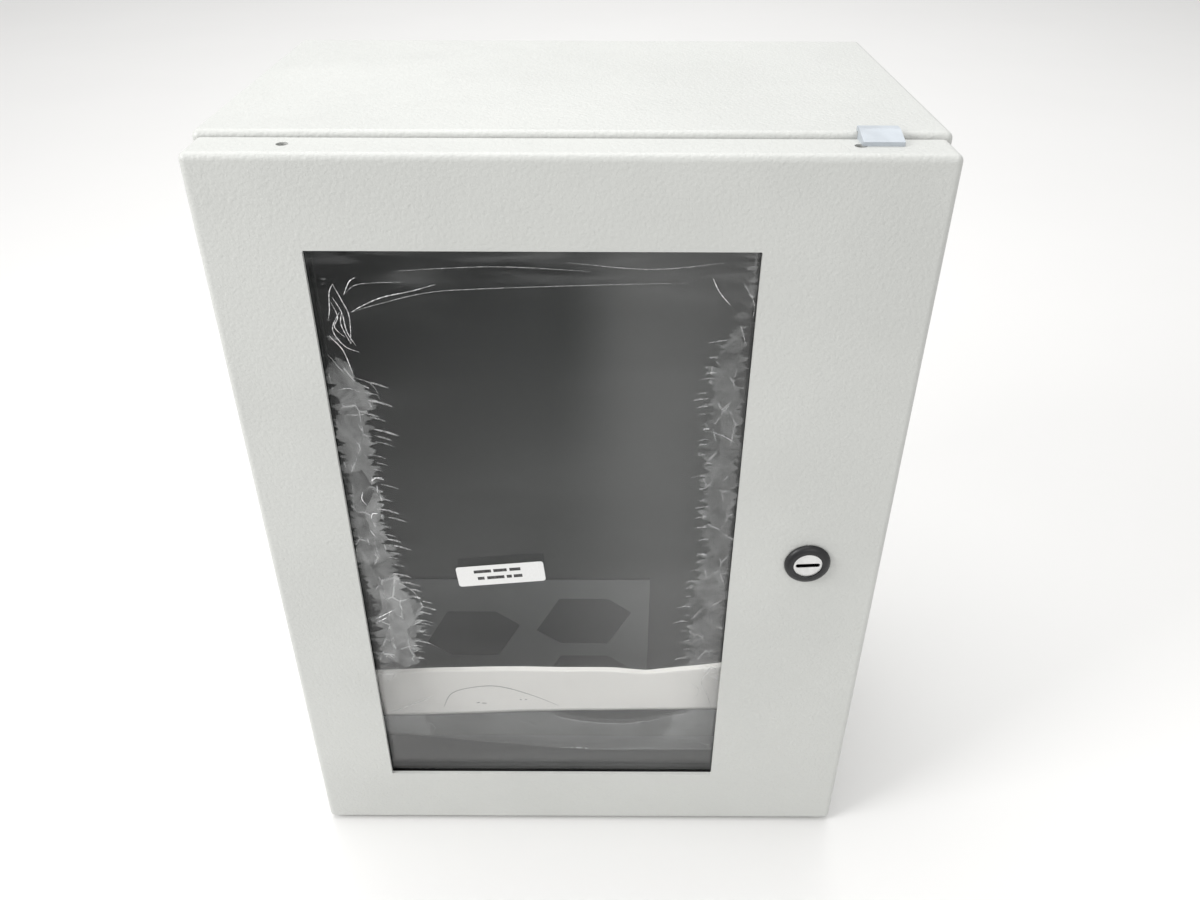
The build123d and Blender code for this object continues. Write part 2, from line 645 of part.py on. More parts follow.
with BuildPart() as latch_housing:
    with BuildSketch(Plane(origin=(LATCH_X, y_at(0), LATCH_Z), x_dir=(1, 0, 0), z_dir=(0, 0, 1))):
        with BuildLine():
            Polyline(
                (CORE_RADIUS + CORE_PLAY, -BEZEL_PROUD),
                (CORE_RADIUS + CORE_PLAY, HEAD_REAR + RUNNING),
                (STEM_RADIUS + CORE_PLAY, HEAD_REAR + RUNNING),
                (STEM_RADIUS + CORE_PLAY, BARREL_REAR),
                (BARREL_RADIUS, BARREL_REAR),
                (BARREL_RADIUS, -BEZEL_SEAL_THICK),
                (BEZEL_RADIUS, -BEZEL_SEAL_THICK),
            )
            EllipticalCenterArc(
                (CORE_RADIUS + CROWN / 2, -BEZEL_SEAL_THICK),
                BEZEL_RADIUS - CORE_RADIUS - CROWN / 2,
                CROWN,
                start_angle=-90,
                arc_size=90,
            )
            Line((CORE_RADIUS + CROWN / 2, -BEZEL_PROUD), (CORE_RADIUS + CORE_PLAY, -BEZEL_PROUD))
        make_face()
    revolve(axis=Axis((LATCH_X, y_at(0), LATCH_Z), (0, 1, 0)))
keep("latch_housing", latch_housing)

with BuildPart() as latch_nut:
    hexagon(LATCH_X, LATCH_Z, LATCH_NUT_FLATS, DOOR_SHEET, DOOR_SHEET + LATCH_NUT_THICK)
    rod(LATCH_X, LATCH_Z, BARREL_RADIUS + RUNNING, DOOR_SHEET, DOOR_SHEET + LATCH_NUT_THICK,
        mode=Mode.SUBTRACT)
keep("latch_nut", latch_nut)

with BuildPart() as latch_core:
    rod(LATCH_X, LATCH_Z, CORE_RADIUS, HEAD_FRONT, HEAD_REAR)
    rod(LATCH_X, LATCH_Z, STEM_RADIUS, HEAD_REAR, BARREL_REAR)
    plate(around(LATCH_X, LATCH_Z, STEM_SQUARE, STEM_SQUARE), BARREL_REAR, CAM_REAR)
    rod(LATCH_X, LATCH_Z, CAM_SCREW_RADIUS + RUNNING, CAM_REAR - CAM_SCREW_LENGTH, CAM_REAR,
        mode=Mode.SUBTRACT)
    with BuildSketch(facing(HEAD_FRONT + SLOT_DEPTH)):
        with Locations((LATCH_X, LATCH_Z)):
            SlotOverall(SLOT_LENGTH, SLOT_WIDTH, rotation=SLOT_TILT)
    extrude(amount=SLOT_DEPTH + CUT_OVER, mode=Mode.SUBTRACT)
keep("latch_core", latch_core)

with BuildPart() as latch_cam:
    with BuildSketch(facing(CAM_REAR)):
        with Locations((LATCH_X, LATCH_Z)):
            Circle(CAM_WIDTH / 2)
        with Locations((LATCH_X, LATCH_Z - CAM_REACH / 2)):
            Rectangle(CAM_WIDTH, CAM_REACH)
        with Locations((LATCH_X, LATCH_Z)):
            Rectangle(STEM_SQUARE + RUNNING, STEM_SQUARE + RUNNING, mode=Mode.SUBTRACT)
    extrude(amount=CAM_THICK)
keep("latch_cam", latch_cam)

with BuildPart() as latch_washer:
    rod(LATCH_X, LATCH_Z, WASHER_RADIUS, CAM_REAR, CAM_REAR + WASHER_THICK)
    rod(LATCH_X, LATCH_Z, CAM_SCREW_RADIUS + RUNNING, CAM_REAR, CAM_REAR + WASHER_THICK,
        mode=Mode.SUBTRACT)
keep("latch_washer", latch_washer)

with BuildPart() as latch_screw:
    screw_head = CAM_REAR + WASHER_THICK
    rod(LATCH_X, LATCH_Z, CAM_SCREW_RADIUS, CAM_REAR - CAM_SCREW_LENGTH + CUT_OVER, screw_head)
    rod(LATCH_X, LATCH_Z, CAM_SCREW_HEAD, screw_head, screw_head + CAM_SCREW_HEAD_THICK)
keep("latch_screw", latch_screw)

# ---- Dress pan that closes off the equipment behind the window ----
FASCIA_RIGHT = PAN[1] - PAN_SHEET - FASCIA_FROM_RIGHT
FASCIA = (FASCIA_RIGHT - FASCIA_WIDTH, FASCIA_RIGHT, PAN[2] + FASCIA_END_INSET, PAN[3] - FASCIA_END_INSET)
FASCIA_FRONT = PAN_FACE - FASCIA_THICK
FASCIA_X = (FASCIA[0] + FASCIA[1]) / 2
COVER_LEFT = PAN[0] + COVER_FROM_LEFT
COVER = (COVER_LEFT, COVER_LEFT + COVER_WIDTH, PAN[2] + COVER_ABOVE_FLOOR,
         PAN[2] + COVER_ABOVE_FLOOR + COVER_HEIGHT)
PAN_WINDOW = grown(FASCIA, -3 * PAN_SHEET)

with BuildPart() as dress_pan:
    plate(PAN, PAN_FRONT, PAN_REAR)
    plate(grown(PAN, -PAN_SHEET), PAN_FRONT - CUT_OVER, PAN_FACE, mode=Mode.SUBTRACT)
    plate((PAN[1] - 2 * PAN_SHEET, PAN[1] + CUT_OVER, LATCH_Z - PAN_NOTCH_HALF, LATCH_Z + PAN_NOTCH_HALF),
          PAN_FRONT - CUT_OVER, CAM_REAR + WASHER_THICK + CAM_SCREW_HEAD_THICK, mode=Mode.SUBTRACT)
    plate(PAN_WINDOW, PAN_FACE - CUT_OVER, PAN_REAR + CUT_OVER, mode=Mode.SUBTRACT)
    for level in PAN_SCREW_LEVELS:
        bar(PAN[0] - CUT_OVER, PAN[0] + 2 * PAN_SHEET, PAN_SCREW_BACK, level,
            PAN_SCREW_RADIUS + SCREW_PLAY, mode=Mode.SUBTRACT)
        bar(PAN[1] - 2 * PAN_SHEET, PAN[1] + CUT_OVER, PAN_SCREW_BACK, level,
            PAN_SCREW_RADIUS + SCREW_PLAY, mode=Mode.SUBTRACT)
keep("dress_pan", dress_pan)

with BuildPart() as pan_screws:
    for level in PAN_SCREW_LEVELS:
        left_face = PAN[0] + PAN_SHEET
        right_face = PAN[1] - PAN_SHEET
        bar(MOUTH[0] - COLLAR_SHEET, left_face, PAN_SCREW_BACK, level, PAN_SCREW_RADIUS)
        bar(left_face, left_face + PAN_SCREW_HEAD_THICK, PAN_SCREW_BACK, level, PAN_SCREW_HEAD)
        bar(right_face, MOUTH[1] + COLLAR_SHEET, PAN_SCREW_BACK, level, PAN_SCREW_RADIUS)
        bar(right_face - PAN_SCREW_HEAD_THICK, right_face, PAN_SCREW_BACK, level, PAN_SCREW_HEAD)
keep("pan_screws", pan_screws)

with BuildPart() as module_cover:
    plate(COVER, PAN_FACE - COVER_THICK, PAN_FACE)
    with BuildSketch(facing(PAN_FACE - COVER_THICK + HEX_DEPTH)):
        for from_right, from_top in HEX_PLACES:
            with Locations((COVER[1] - from_right, COVER[3] - from_top)):
                Polygon(
                    (-HEX_WIDTH / 2, -HEX_SKEW),
                    (-HEX_WIDTH / 4, HEX_HEIGHT / 2),
                    (HEX_WIDTH / 4, HEX_HEIGHT / 2),
                    (HEX_WIDTH / 2, HEX_SKEW),
                    (HEX_WIDTH / 4, -HEX_HEIGHT / 2),
                    (-HEX_WIDTH / 4, -HEX_HEIGHT / 2),
                    align=None,
                )
    extrude(amount=HEX_DEPTH + CUT_OVER, mode=Mode.SUBTRACT)
keep("module_cover", module_cover)

# ---- Operator strip beside the window: display, lamps and push buttons ----
BUTTON_LEVELS = [FASCIA[2] + BUTTONS_ABOVE_END + BUTTON_PITCH * index for index in range(len(BUTTON_NAMES))]
DISPLAY = around(FASCIA_X, FASCIA[3] - DISPLAY_FROM_TOP, DISPLAY_WIDTH, DISPLAY_HEIGHT)
LENS_LEVELS = evenly(BUTTON_LEVELS[-1] + BUTTON_PITCH / 2, DISPLAY[2], LENS_COUNT)
FLANGE_REAR = PAN_FACE + BUTTON_FLANGE_THICK
STEM_REAR = FLANGE_REAR + BUTTON_STEM_LENGTH
SWITCH_FRONT = STEM_REAR + BUTTON_TRAVEL + BUTTON_PLAY
OPERATOR_BOARD_FRONT = SWITCH_FRONT + SWITCH_THICK
OPERATOR_BOARD = grown(FASCIA, -OPERATOR_BOARD_SHRINK)

with BuildPart() as operator_fascia:
    plate(FASCIA, FASCIA_FRONT, PAN_FACE)
    plate(DISPLAY, FASCIA_FRONT, PAN_FACE, mode=Mode.SUBTRACT)
    for level in LENS_LEVELS:
        rod(FASCIA_X, level, LENS_RADIUS + RUNNING, FASCIA_FRONT, PAN_FACE, mode=Mode.SUBTRACT)
    for level in BUTTON_LEVELS:
        rod(FASCIA_X, level, BUTTON_RADIUS + BUTTON_PLAY, FASCIA_FRONT, PAN_FACE, mode=Mode.SUBTRACT)
keep("operator_fascia", operator_fascia)

with BuildPart() as display_window:
    plate(grown(DISPLAY, -RUNNING), PAN_FACE - DISPLAY_THICK, PAN_FACE)
keep("display_window", display_window)

with BuildPart() as display_module:
    plate(DISPLAY, PAN_FACE, PAN_FACE + MODULE_THICK)
keep("display_module", display_module)

with BuildPart() as indicator_lenses:
    for level in LENS_LEVELS:
        rod(FASCIA_X, level, LENS_RADIUS, FASCIA_FRONT - LENS_PROUD, OPERATOR_BOARD_FRONT)
keep("indicator_lenses", indicator_lenses)

for name, level in zip(BUTTON_NAMES, BUTTON_LEVELS):
    with BuildPart() as button:
        rod(FASCIA_X, level, BUTTON_RADIUS, FASCIA_FRONT - BUTTON_PROUD, PAN_FACE + BUTTON_PLAY)
        rod(FASCIA_X, level, BUTTON_FLANGE, PAN_FACE + BUTTON_PLAY, FLANGE_REAR + BUTTON_PLAY)
        rod(FASCIA_X, level, BUTTON_STEM, FLANGE_REAR + BUTTON_PLAY, STEM_REAR)
    keep(f"button_{name}", button)

with BuildPart() as operator_board:
    plate(OPERATOR_BOARD, OPERATOR_BOARD_FRONT, OPERATOR_BOARD_FRONT + OPERATOR_BOARD_THICK)
keep("operator_board", operator_board)

with BuildPart() as button_switches:
    for level in BUTTON_LEVELS:
        plate(around(FASCIA_X, level, SWITCH_SIZE, SWITCH_SIZE), SWITCH_FRONT, OPERATOR_BOARD_FRONT)
keep("button_switches", button_switches)

with BuildPart() as sounder:
    sounder_front = OPERATOR_BOARD_FRONT + OPERATOR_BOARD_THICK
    rod(FASCIA_X, FASCIA[3] - SOUNDER_FROM_TOP, SOUNDER_RADIUS, sounder_front, sounder_front + SOUNDER_THICK)
keep("sounder", sounder)

# ---- Sub-panel on four welded studs ----
with BuildPart() as panel_studs:
    for x, z in PANEL_STUDS:
        rod(x, z, PANEL_STUD_SHOULDER, PANEL_FACE + PANEL_THICK, BACK_INNER)
        rod(x, z, PANEL_STUD_RADIUS, PANEL_FACE - PANEL_STUD_TAIL, PANEL_FACE + PANEL_THICK)
keep("panel_studs", panel_studs)

with BuildPart() as sub_panel:
    plate(PANEL, PANEL_FACE, PANEL_FACE + PANEL_THICK)
    for x, z in PANEL_STUDS:
        rod(x, z, PANEL_STUD_RADIUS + SCREW_PLAY, PANEL_FACE, PANEL_FACE + PANEL_THICK, mode=Mode.SUBTRACT)
keep("sub_panel", sub_panel)

with BuildPart() as panel_nuts:
    for x, z in PANEL_STUDS:
        hexagon(x, z, PANEL_NUT_FLATS, PANEL_FACE - PANEL_NUT_THICK, PANEL_FACE)
        rod(x, z, PANEL_STUD_RADIUS + RUNNING, PANEL_FACE - PANEL_NUT_THICK, PANEL_FACE,
            mode=Mode.SUBTRACT)
keep("panel_nuts", panel_nuts)

# ---- Standby batteries on a shelf ----
SHELF_TOP = PANEL[2] + PANEL_STUD_INSET + PANEL_NUT_FLATS + SHELF_FROM_BOTTOM
SHELF_HALF = BATTERY_WIDTH + BATTERY_GAP
BATTERY_REAR = PANEL_FACE - SHELF_SHEET - BATTERY_GAP
BATTERY_FRONT = BATTERY_REAR - BATTERY_DEPTH
BATTERY_TOP = SHELF_TOP + BATTERY_HEIGHT
SHELF_FRONT = BATTERY_FRONT - BATTERY_GAP

with BuildPart() as battery_shelf:
    plate((-SHELF_HALF, SHELF_HALF, SHELF_TOP - SHELF_SHEET, SHELF_TOP), SHELF_FRONT, PANEL_FACE)
    plate((-SHELF_HALF, SHELF_HALF, SHELF_TOP, SHELF_TOP + SHELF_BACK_HEIGHT),
          PANEL_FACE - SHELF_SHEET, PANEL_FACE)
    plate((-SHELF_HALF, SHELF_HALF, SHELF_TOP, SHELF_TOP + SHELF_LIP), SHELF_FRONT, SHELF_FRONT + SHELF_SHEET)
keep("battery_shelf", battery_shelf)

for name, side in (("left", -1), ("right", 1)):
    middle = side * (BATTERY_WIDTH + BATTERY_GAP) / 2
    with BuildPart() as battery:
        plate((middle - BATTERY_WIDTH / 2, middle + BATTERY_WIDTH / 2, SHELF_TOP, BATTERY_TOP),
              BATTERY_FRONT, BATTERY_REAR)
        fillet(battery.edges().filter_by(Axis.Z), BATTERY_CORNER)
        for x in (middle - BATTERY_WIDTH / 2 + TERMINAL_INSET, middle + BATTERY_WIDTH / 2 - TERMINAL_INSET):
            plate(around(x, BATTERY_TOP + TERMINAL_HEIGHT / 2, TERMINAL_WIDTH, TERMINAL_HEIGHT),
                  BATTERY_FRONT + TERMINAL_INSET, BATTERY_FRONT + TERMINAL_INSET + TERMINAL_THICK)
    keep(f"standby_battery_{name}", battery)

with BuildPart() as battery_band:
    band = (-SHELF_HALF - BATTERY_GAP, SHELF_HALF + BATTERY_GAP,
             SHELF_TOP + BAND_ABOVE_SHELF, SHELF_TOP + BAND_ABOVE_SHELF + BAND_WIDTH)
    band_front = BATTERY_FRONT - PART_GAP - BAND_THICK
    plate(band, band_front, PANEL_FACE)
    plate(grown(band, -BAND_THICK, CUT_OVER), band_front + BAND_THICK, PANEL_FACE + CUT_OVER,
          mode=Mode.SUBTRACT)
keep("battery_band", battery_band)

# ---- Transformer and fuses above the batteries ----
ROW_LOW = BATTERY_TOP + TERMINAL_HEIGHT + TRANSFORMER_ABOVE_BATTERY
ROW_HIGH = ROW_LOW + TRANSFORMER_HEIGHT
TRANSFORMER_X = PANEL[0] + PANEL_STUD_INSET + TRANSFORMER_WIDTH / 2
TRANSFORMER_MID = PANEL_FACE - COIL_DEPTH / 2
COIL = around(TRANSFORMER_X, (ROW_LOW + ROW_HIGH) / 2, TRANSFORMER_WIDTH - 2 * COIL_SHRINK,
              TRANSFORMER_HEIGHT - COIL_SHRINK)

with BuildPart() as transformer_coil:
    plate(COIL, PANEL_FACE - COIL_DEPTH, PANEL_FACE, COIL_SHRINK / 2)
keep("transformer_coil", transformer_coil)

with BuildPart() as transformer_core:
    plate((TRANSFORMER_X - TRANSFORMER_WIDTH / 2, TRANSFORMER_X + TRANSFORMER_WIDTH / 2, ROW_LOW, ROW_HIGH),
          TRANSFORMER_MID - TRANSFORMER_DEPTH / 2, TRANSFORMER_MID + TRANSFORMER_DEPTH / 2)
    plate(grown(COIL, RUNNING), PANEL_FACE - COIL_DEPTH, PANEL_FACE, COIL_SHRINK / 2, mode=Mode.SUBTRACT)
keep("transformer_core", transformer_core)

with BuildPart() as fuse_holders:
    for index in range(FUSE_COUNT):
        x = PANEL[1] - FUSE_FROM_RIGHT - FUSE_PITCH * index
        holder = around(x, (ROW_LOW + ROW_HIGH) / 2, FUSE_WIDTH, FUSE_HEIGHT)
        plate(holder, PANEL_FACE - FUSE_DEPTH, PANEL_FACE)
        rod(x, (ROW_LOW + ROW_HIGH) / 2, FUSE_WIDTH / 3, PANEL_FACE - FUSE_DEPTH - FUSE_WIDTH / 3,
            PANEL_FACE - FUSE_DEPTH)
keep("fuse_holders", fuse_holders)

# ---- Main control board ----
BOARD = (PANEL[0] + BOARD_INSET, PANEL[1] - BOARD_INSET, ROW_HIGH + BOARD_GAP, PANEL[3] - BOARD_TOP_INSET)
BOARD_REAR = PANEL_FACE - BOARD_STANDOFF
BOARD_FACE = BOARD_REAR - BOARD_THICK
BOARD_HOLES = corners(BOARD, BOARD_HOLE_INSET)

with BuildPart() as board_standoffs:
    for x, z in BOARD_HOLES:
        rod(x, z, STANDOFF_RADIUS, BOARD_REAR, PANEL_FACE)
        rod(x, z, BOARD_SCREW_RADIUS + RUNNING, BOARD_REAR, PANEL_FACE, mode=Mode.SUBTRACT)
keep("board_standoffs", board_standoffs)

with BuildPart() as main_board:
    plate(BOARD, BOARD_FACE, BOARD_REAR)
    for x, z in BOARD_HOLES:
        rod(x, z, BOARD_SCREW_RADIUS + SCREW_PLAY, BOARD_FACE, BOARD_REAR, mode=Mode.SUBTRACT)
keep("main_board", main_board)

with BuildPart() as board_screws:
    for x, z in BOARD_HOLES:
        rod(x, z, BOARD_SCREW_RADIUS, BOARD_FACE, PANEL_FACE - PART_GAP)
        rod(x, z, BOARD_SCREW_HEAD, BOARD_FACE - BOARD_SCREW_HEAD_THICK, BOARD_FACE)
keep("board_screws", board_screws)

BLOCK_WIDTH = (BOARD[1] - BOARD[0] - 2 * BLOCK_FROM_EDGE) / TERMINAL_BLOCKS - BLOCK_GAP
BLOCK_MID = BOARD[2] + BLOCK_FROM_EDGE

with BuildPart() as terminal_blocks:
    for x in evenly(BOARD[0] + BLOCK_FROM_EDGE, BOARD[1] - BLOCK_FROM_EDGE, TERMINAL_BLOCKS):
        plate(around(x, BLOCK_MID, BLOCK_WIDTH, BLOCK_HEIGHT), BOARD_FACE - BLOCK_DEPTH, BOARD_FACE)
        for hole_x in evenly(x - BLOCK_WIDTH / 2, x + BLOCK_WIDTH / 2, WIRE_HOLES_A_BLOCK):
            rod(hole_x, BLOCK_MID, WIRE_HOLE_SIZE / 2, BOARD_FACE - BLOCK_DEPTH,
                BOARD_FACE - BLOCK_DEPTH + WIRE_HOLE_DEEP, mode=Mode.SUBTRACT)
keep("terminal_blocks", terminal_blocks)

with BuildPart() as relays:
    for index in range(RELAY_COUNT):
        x = BOARD[0] + BLOCK_FROM_EDGE + RELAY_WIDTH / 2 + RELAY_PITCH * index
        plate(around(x, BOARD[2] + RELAY_UP, RELAY_WIDTH, RELAY_HEIGHT), BOARD_FACE - RELAY_DEPTH, BOARD_FACE)
keep("relays", relays)

with BuildPart() as board_components:
    chip_x = BOARD[1] - 2 * BLOCK_FROM_EDGE - CHIP_SIZE / 2
    plate(around(chip_x, BOARD[2] + RELAY_UP, CHIP_SIZE, CHIP_SIZE), BOARD_FACE - CHIP_THICK, BOARD_FACE)
    for x in evenly(BOARD[0] + BLOCK_FROM_EDGE + RELAY_PITCH * RELAY_COUNT, chip_x - CHIP_SIZE / 2,
                    CAPACITOR_COUNT):
        rod(x, BOARD[2] + RELAY_UP, CAPACITOR_RADIUS, BOARD_FACE - CAPACITOR_DEPTH, BOARD_FACE)
keep("board_components", board_components)

# ---- Printed leaflet in a clear bag, standing in the foot of the pan ----
BAG_LEFT = PAN[0] + PAN_SHEET + BAG_FROM_LEFT
BAG_FOOT_Z = PAN[2] + PAN_SHEET + BAG_THICK * math.sin(math.radians(BAG_LEAN)) + PART_GAP
bag_plane = Plane(origin=(0, y_at(BAG_FOOT_BACK), BAG_FOOT_Z), x_dir=(1, 0, 0), z_dir=(0, -1, 0))
bag_plane = bag_plane.rotated((BAG_LEAN, 0, 0))
BAG_MIDDLE = BAG_LEFT + BAG_WIDTH / 2

with BuildPart() as literature_bag:
    with BuildSketch(bag_plane):
        with Locations((BAG_MIDDLE, BAG_HEIGHT / 2)):
            Rectangle(BAG_WIDTH, BAG_HEIGHT)
    extrude(amount=BAG_THICK)
    with BuildSketch(bag_plane.offset(BAG_WALL)):
        with Locations((BAG_MIDDLE, BAG_HEIGHT - BAG_MOUTH_DEEP / 2)):
            Rectangle(BAG_WIDTH - 2 * BAG_WALL, BAG_MOUTH_DEEP)
    extrude(amount=BAG_THICK - 2 * BAG_WALL, mode=Mode.SUBTRACT)
keep("literature_bag", literature_bag)

with BuildPart() as instruction_sheet:
    with BuildSketch(bag_plane.offset((BAG_THICK - SHEET_THICK) / 2)):
        with Locations((BAG_MIDDLE, BAG_HEIGHT - BAG_MOUTH_DEEP + PART_GAP + SHEET_HEIGHT / 2)):
            Rectangle(SHEET_WIDTH, SHEET_HEIGHT)
    extrude(amount=SHEET_THICK)
keep("instruction_sheet", instruction_sheet)
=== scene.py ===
import json
import math
import random

import bpy
import numpy as np
from mathutils import Matrix, Vector, noise


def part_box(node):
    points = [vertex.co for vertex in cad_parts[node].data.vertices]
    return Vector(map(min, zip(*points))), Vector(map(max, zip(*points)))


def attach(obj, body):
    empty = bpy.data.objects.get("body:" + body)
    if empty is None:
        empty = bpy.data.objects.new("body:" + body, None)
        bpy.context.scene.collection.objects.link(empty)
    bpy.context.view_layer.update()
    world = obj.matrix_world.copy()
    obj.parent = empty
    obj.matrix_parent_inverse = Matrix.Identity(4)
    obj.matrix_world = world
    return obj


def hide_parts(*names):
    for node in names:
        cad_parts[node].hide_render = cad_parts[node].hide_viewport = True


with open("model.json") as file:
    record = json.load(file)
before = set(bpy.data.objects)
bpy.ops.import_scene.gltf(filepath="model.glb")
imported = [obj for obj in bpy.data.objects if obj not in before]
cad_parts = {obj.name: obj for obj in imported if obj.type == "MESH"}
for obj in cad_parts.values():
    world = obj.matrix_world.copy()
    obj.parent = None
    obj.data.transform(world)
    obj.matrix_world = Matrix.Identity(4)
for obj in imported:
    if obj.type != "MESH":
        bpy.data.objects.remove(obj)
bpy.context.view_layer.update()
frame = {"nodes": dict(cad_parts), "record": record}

MM = 0.001

# ---- Places read from the frame ----
DOOR_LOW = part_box("door_panel")[0]
PANE_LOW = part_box("window_pane")[0]
FILM_LOW, FILM_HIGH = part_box("protective_film")
BAG_LOW, BAG_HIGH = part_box("literature_bag")
LABEL_LOW, LABEL_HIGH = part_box("window_label")
CORE_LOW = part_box("latch_core")[0]
COVER_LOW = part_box("module_cover")[0]
FACE_Y = DOOR_LOW.y


def on_door(x, z, depth):
    """Point given in millimetres from the door's left edge, its foot and its face."""
    return Vector((DOOR_LOW.x + x * MM, FACE_Y + depth * MM, DOOR_LOW.z + z * MM))


def door_mm(point):
    """The same three measures of a point: from the door's left edge, its foot and its face."""
    return (point.x - DOOR_LOW.x) / MM, (point.z - DOOR_LOW.z) / MM, (point.y - FACE_Y) / MM


# ---- Camera: lens and sensor in millimetres, nearest distance in metres, angles in degrees ----
LENS = 29.58
SENSOR_WIDTH = 36.0
NEAREST = 0.01
CAMERA_PLACE = on_door(164.1, 521.2, -378.7)
LOOKS_DOWN = 33.54
ROLL = 0.2


def make_camera():
    """Camera in front of the door, above it and looking down at its middle."""
    data = bpy.data.cameras.new("camera")
    data.lens = LENS
    data.sensor_width = SENSOR_WIDTH
    data.clip_start = NEAREST
    camera = bpy.data.objects.new("camera", data)
    tilt = Matrix.Rotation(math.radians(90 - LOOKS_DOWN), 4, "X")
    tilt = tilt @ Matrix.Rotation(math.radians(ROLL), 4, "Z")
    camera.matrix_world = Matrix.Translation(CAMERA_PLACE) @ tilt
    bpy.context.scene.collection.objects.link(camera)
    bpy.context.scene.camera = camera


make_camera()


# ---- Node trees ----
class Shader:
    """A material's node tree, built a node at a time, in object coordinates scaled to millimetres."""

    def __init__(self, name):
        self.material = bpy.data.materials.new(name)
        self.material.use_nodes = True
        self.tree = self.material.node_tree
        self.main = self.tree.nodes["Principled BSDF"]
        self.output = self.tree.nodes["Material Output"]
        coordinates = self.tree.nodes.new("ShaderNodeTexCoord")
        self.mm = self.math_vector("SCALE", coordinates.outputs["Object"], scale=1 / MM)

    def set(self, **values):
        """Plain values on the shader's own sockets."""
        for key, value in values.items():
            self.main.inputs[key.replace("_", " ")].default_value = value
        return self

    def node(self, kind, inputs=(), **settings):
        made = self.tree.nodes.new("ShaderNode" + kind)
        for key, value in settings.items():
            setattr(made, key, value)
        for key, value in dict(inputs).items():
            self.feed(made.inputs[key], value)
        return made

    def feed(self, socket, value):
        if isinstance(value, bpy.types.NodeSocket):
            self.tree.links.new(value, socket)
        else:
            socket.default_value = value

    def math(self, operation, a, b=0.0, clamp=False):
        return self.node("Math", {0: a, 1: b}, operation=operation, use_clamp=clamp).outputs[0]

    def math_vector(self, operation, a, b=(0, 0, 0), scale=1.0):
        made = self.tree.nodes.new("ShaderNodeVectorMath")
        made.operation = operation
        self.feed(made.inputs[0], a)
        if operation == "SCALE":
            self.feed(made.inputs["Scale"], scale)
        else:
            self.feed(made.inputs[1], b)
        return made.outputs[0]

    def stretched(self, stretch):
        return self.math_vector("MULTIPLY", self.mm, stretch)

    def noise(self, size, detail=2.0, rough=0.5, stretch=(1, 1, 1), warp=0.0):
        """Noise whose features are about size millimetres across."""
        return self.node("TexNoise", {
            "Vector": self.stretched(stretch), "Scale": 1 / size, "Detail": detail, "Roughness": rough,
            "Distortion": warp,
        }).outputs["Fac"]

    def cells(self, size, feature="F1", stretch=(1, 1, 1), output="Distance"):
        return self.node("TexVoronoi", {"Vector": self.stretched(stretch), "Scale": 1 / size},
                         feature=feature).outputs[output]

    def waves(self, size, direction="Z", warp=0.0):
        made = self.node("TexWave", {"Vector": self.mm, "Scale": 1 / size, "Distortion": warp})
        made.bands_direction = direction
        return made.outputs["Fac"]

    def ramp(self, value, low, high, from_low=0.0, from_high=1.0):
        """Maps a value's range smoothly onto another one."""
        made = self.node("MapRange", {0: value, 1: from_low, 2: from_high, 3: low, 4: high})
        made.interpolation_type = "SMOOTHSTEP"
        return made.outputs[0]

    def blend(self, factor, a, b, kind="MIX"):
        made = self.tree.nodes.new("ShaderNodeMix")
        made.data_type = "RGBA"
        made.blend_type = kind
        self.feed(made.inputs[0], factor)
        for socket, value in ((made.inputs[6], a), (made.inputs[7], b)):
            self.feed(socket, value if isinstance(value, bpy.types.NodeSocket) else (*value, 1.0))
        return made.outputs[2]

    def mottled(self, field, color, darker, lighter, low=0.3, high=0.7):
        """A colour that drifts between a darker and a lighter shade of itself with a field."""
        return self.blend(self.ramp(field, 0.0, 1.0, low, high), shade(color, darker), shade(color, lighter))

    def color(self, value):
        """Base colour, kept as tone for a finish that is laid over it."""
        self.tone = value
        self.feed(self.main.inputs["Base Color"], value)
        return self

    def depth_into(self, start, over):
        """0 in front of a depth behind the door's face, 1 once past it by over, both in millimetres."""
        behind = self.node("SeparateXYZ", {0: self.mm}).outputs[1]
        start += FACE_Y / MM
        return self.ramp(behind, 0.0, 1.0, start, start + over)

    def rough(self, value):
        self.feed(self.main.inputs["Roughness"], value)
        return self

    def alpha(self, value):
        self.feed(self.main.inputs["Alpha"], value)
        return self

    def bump(self, *layers):
        """Stacks bumps, each (height, depth in millimetres)."""
        normal = None
        for height, depth in layers:
            inputs = {"Height": height, "Distance": depth * MM, "Strength": 1.0}
            if normal is not None:
                inputs["Normal"] = normal
            normal = self.node("Bump", inputs).outputs[0]
        self.feed(self.main.inputs["Normal"], normal)
        return self


def shade(color, factor):
    return tuple(min(1.0, channel * factor) for channel in color)


# ---- Materials, one function for each kind of finish ----
def powder_coat(name, color, peel=1.7, depth=0.10, rough=0.42):
    """Textured powder coat: orange-peel grain in two sizes, with a faint drift in its tone."""
    s = Shader(name)
    drift = s.noise(90.0, detail=3.0)
    speck = s.noise(0.7, detail=1.0)
    tone = s.mottled(drift, color, 0.975, 1.02, 0.35, 0.65)
    s.color(s.blend(s.ramp(speck, 0.0, 0.10, 0.4, 0.8), tone, shade(color, 0.82)))
    s.rough(s.ramp(s.noise(6.0), rough - 0.05, rough + 0.07))
    pebbles = s.cells(peel, feature="SMOOTH_F1")
    s.bump((s.noise(peel, detail=2.0, rough=0.55, warp=0.4), depth), (pebbles, depth * 0.5),
           (s.noise(peel * 0.28, detail=1.0), depth * 0.22))
    return s.material


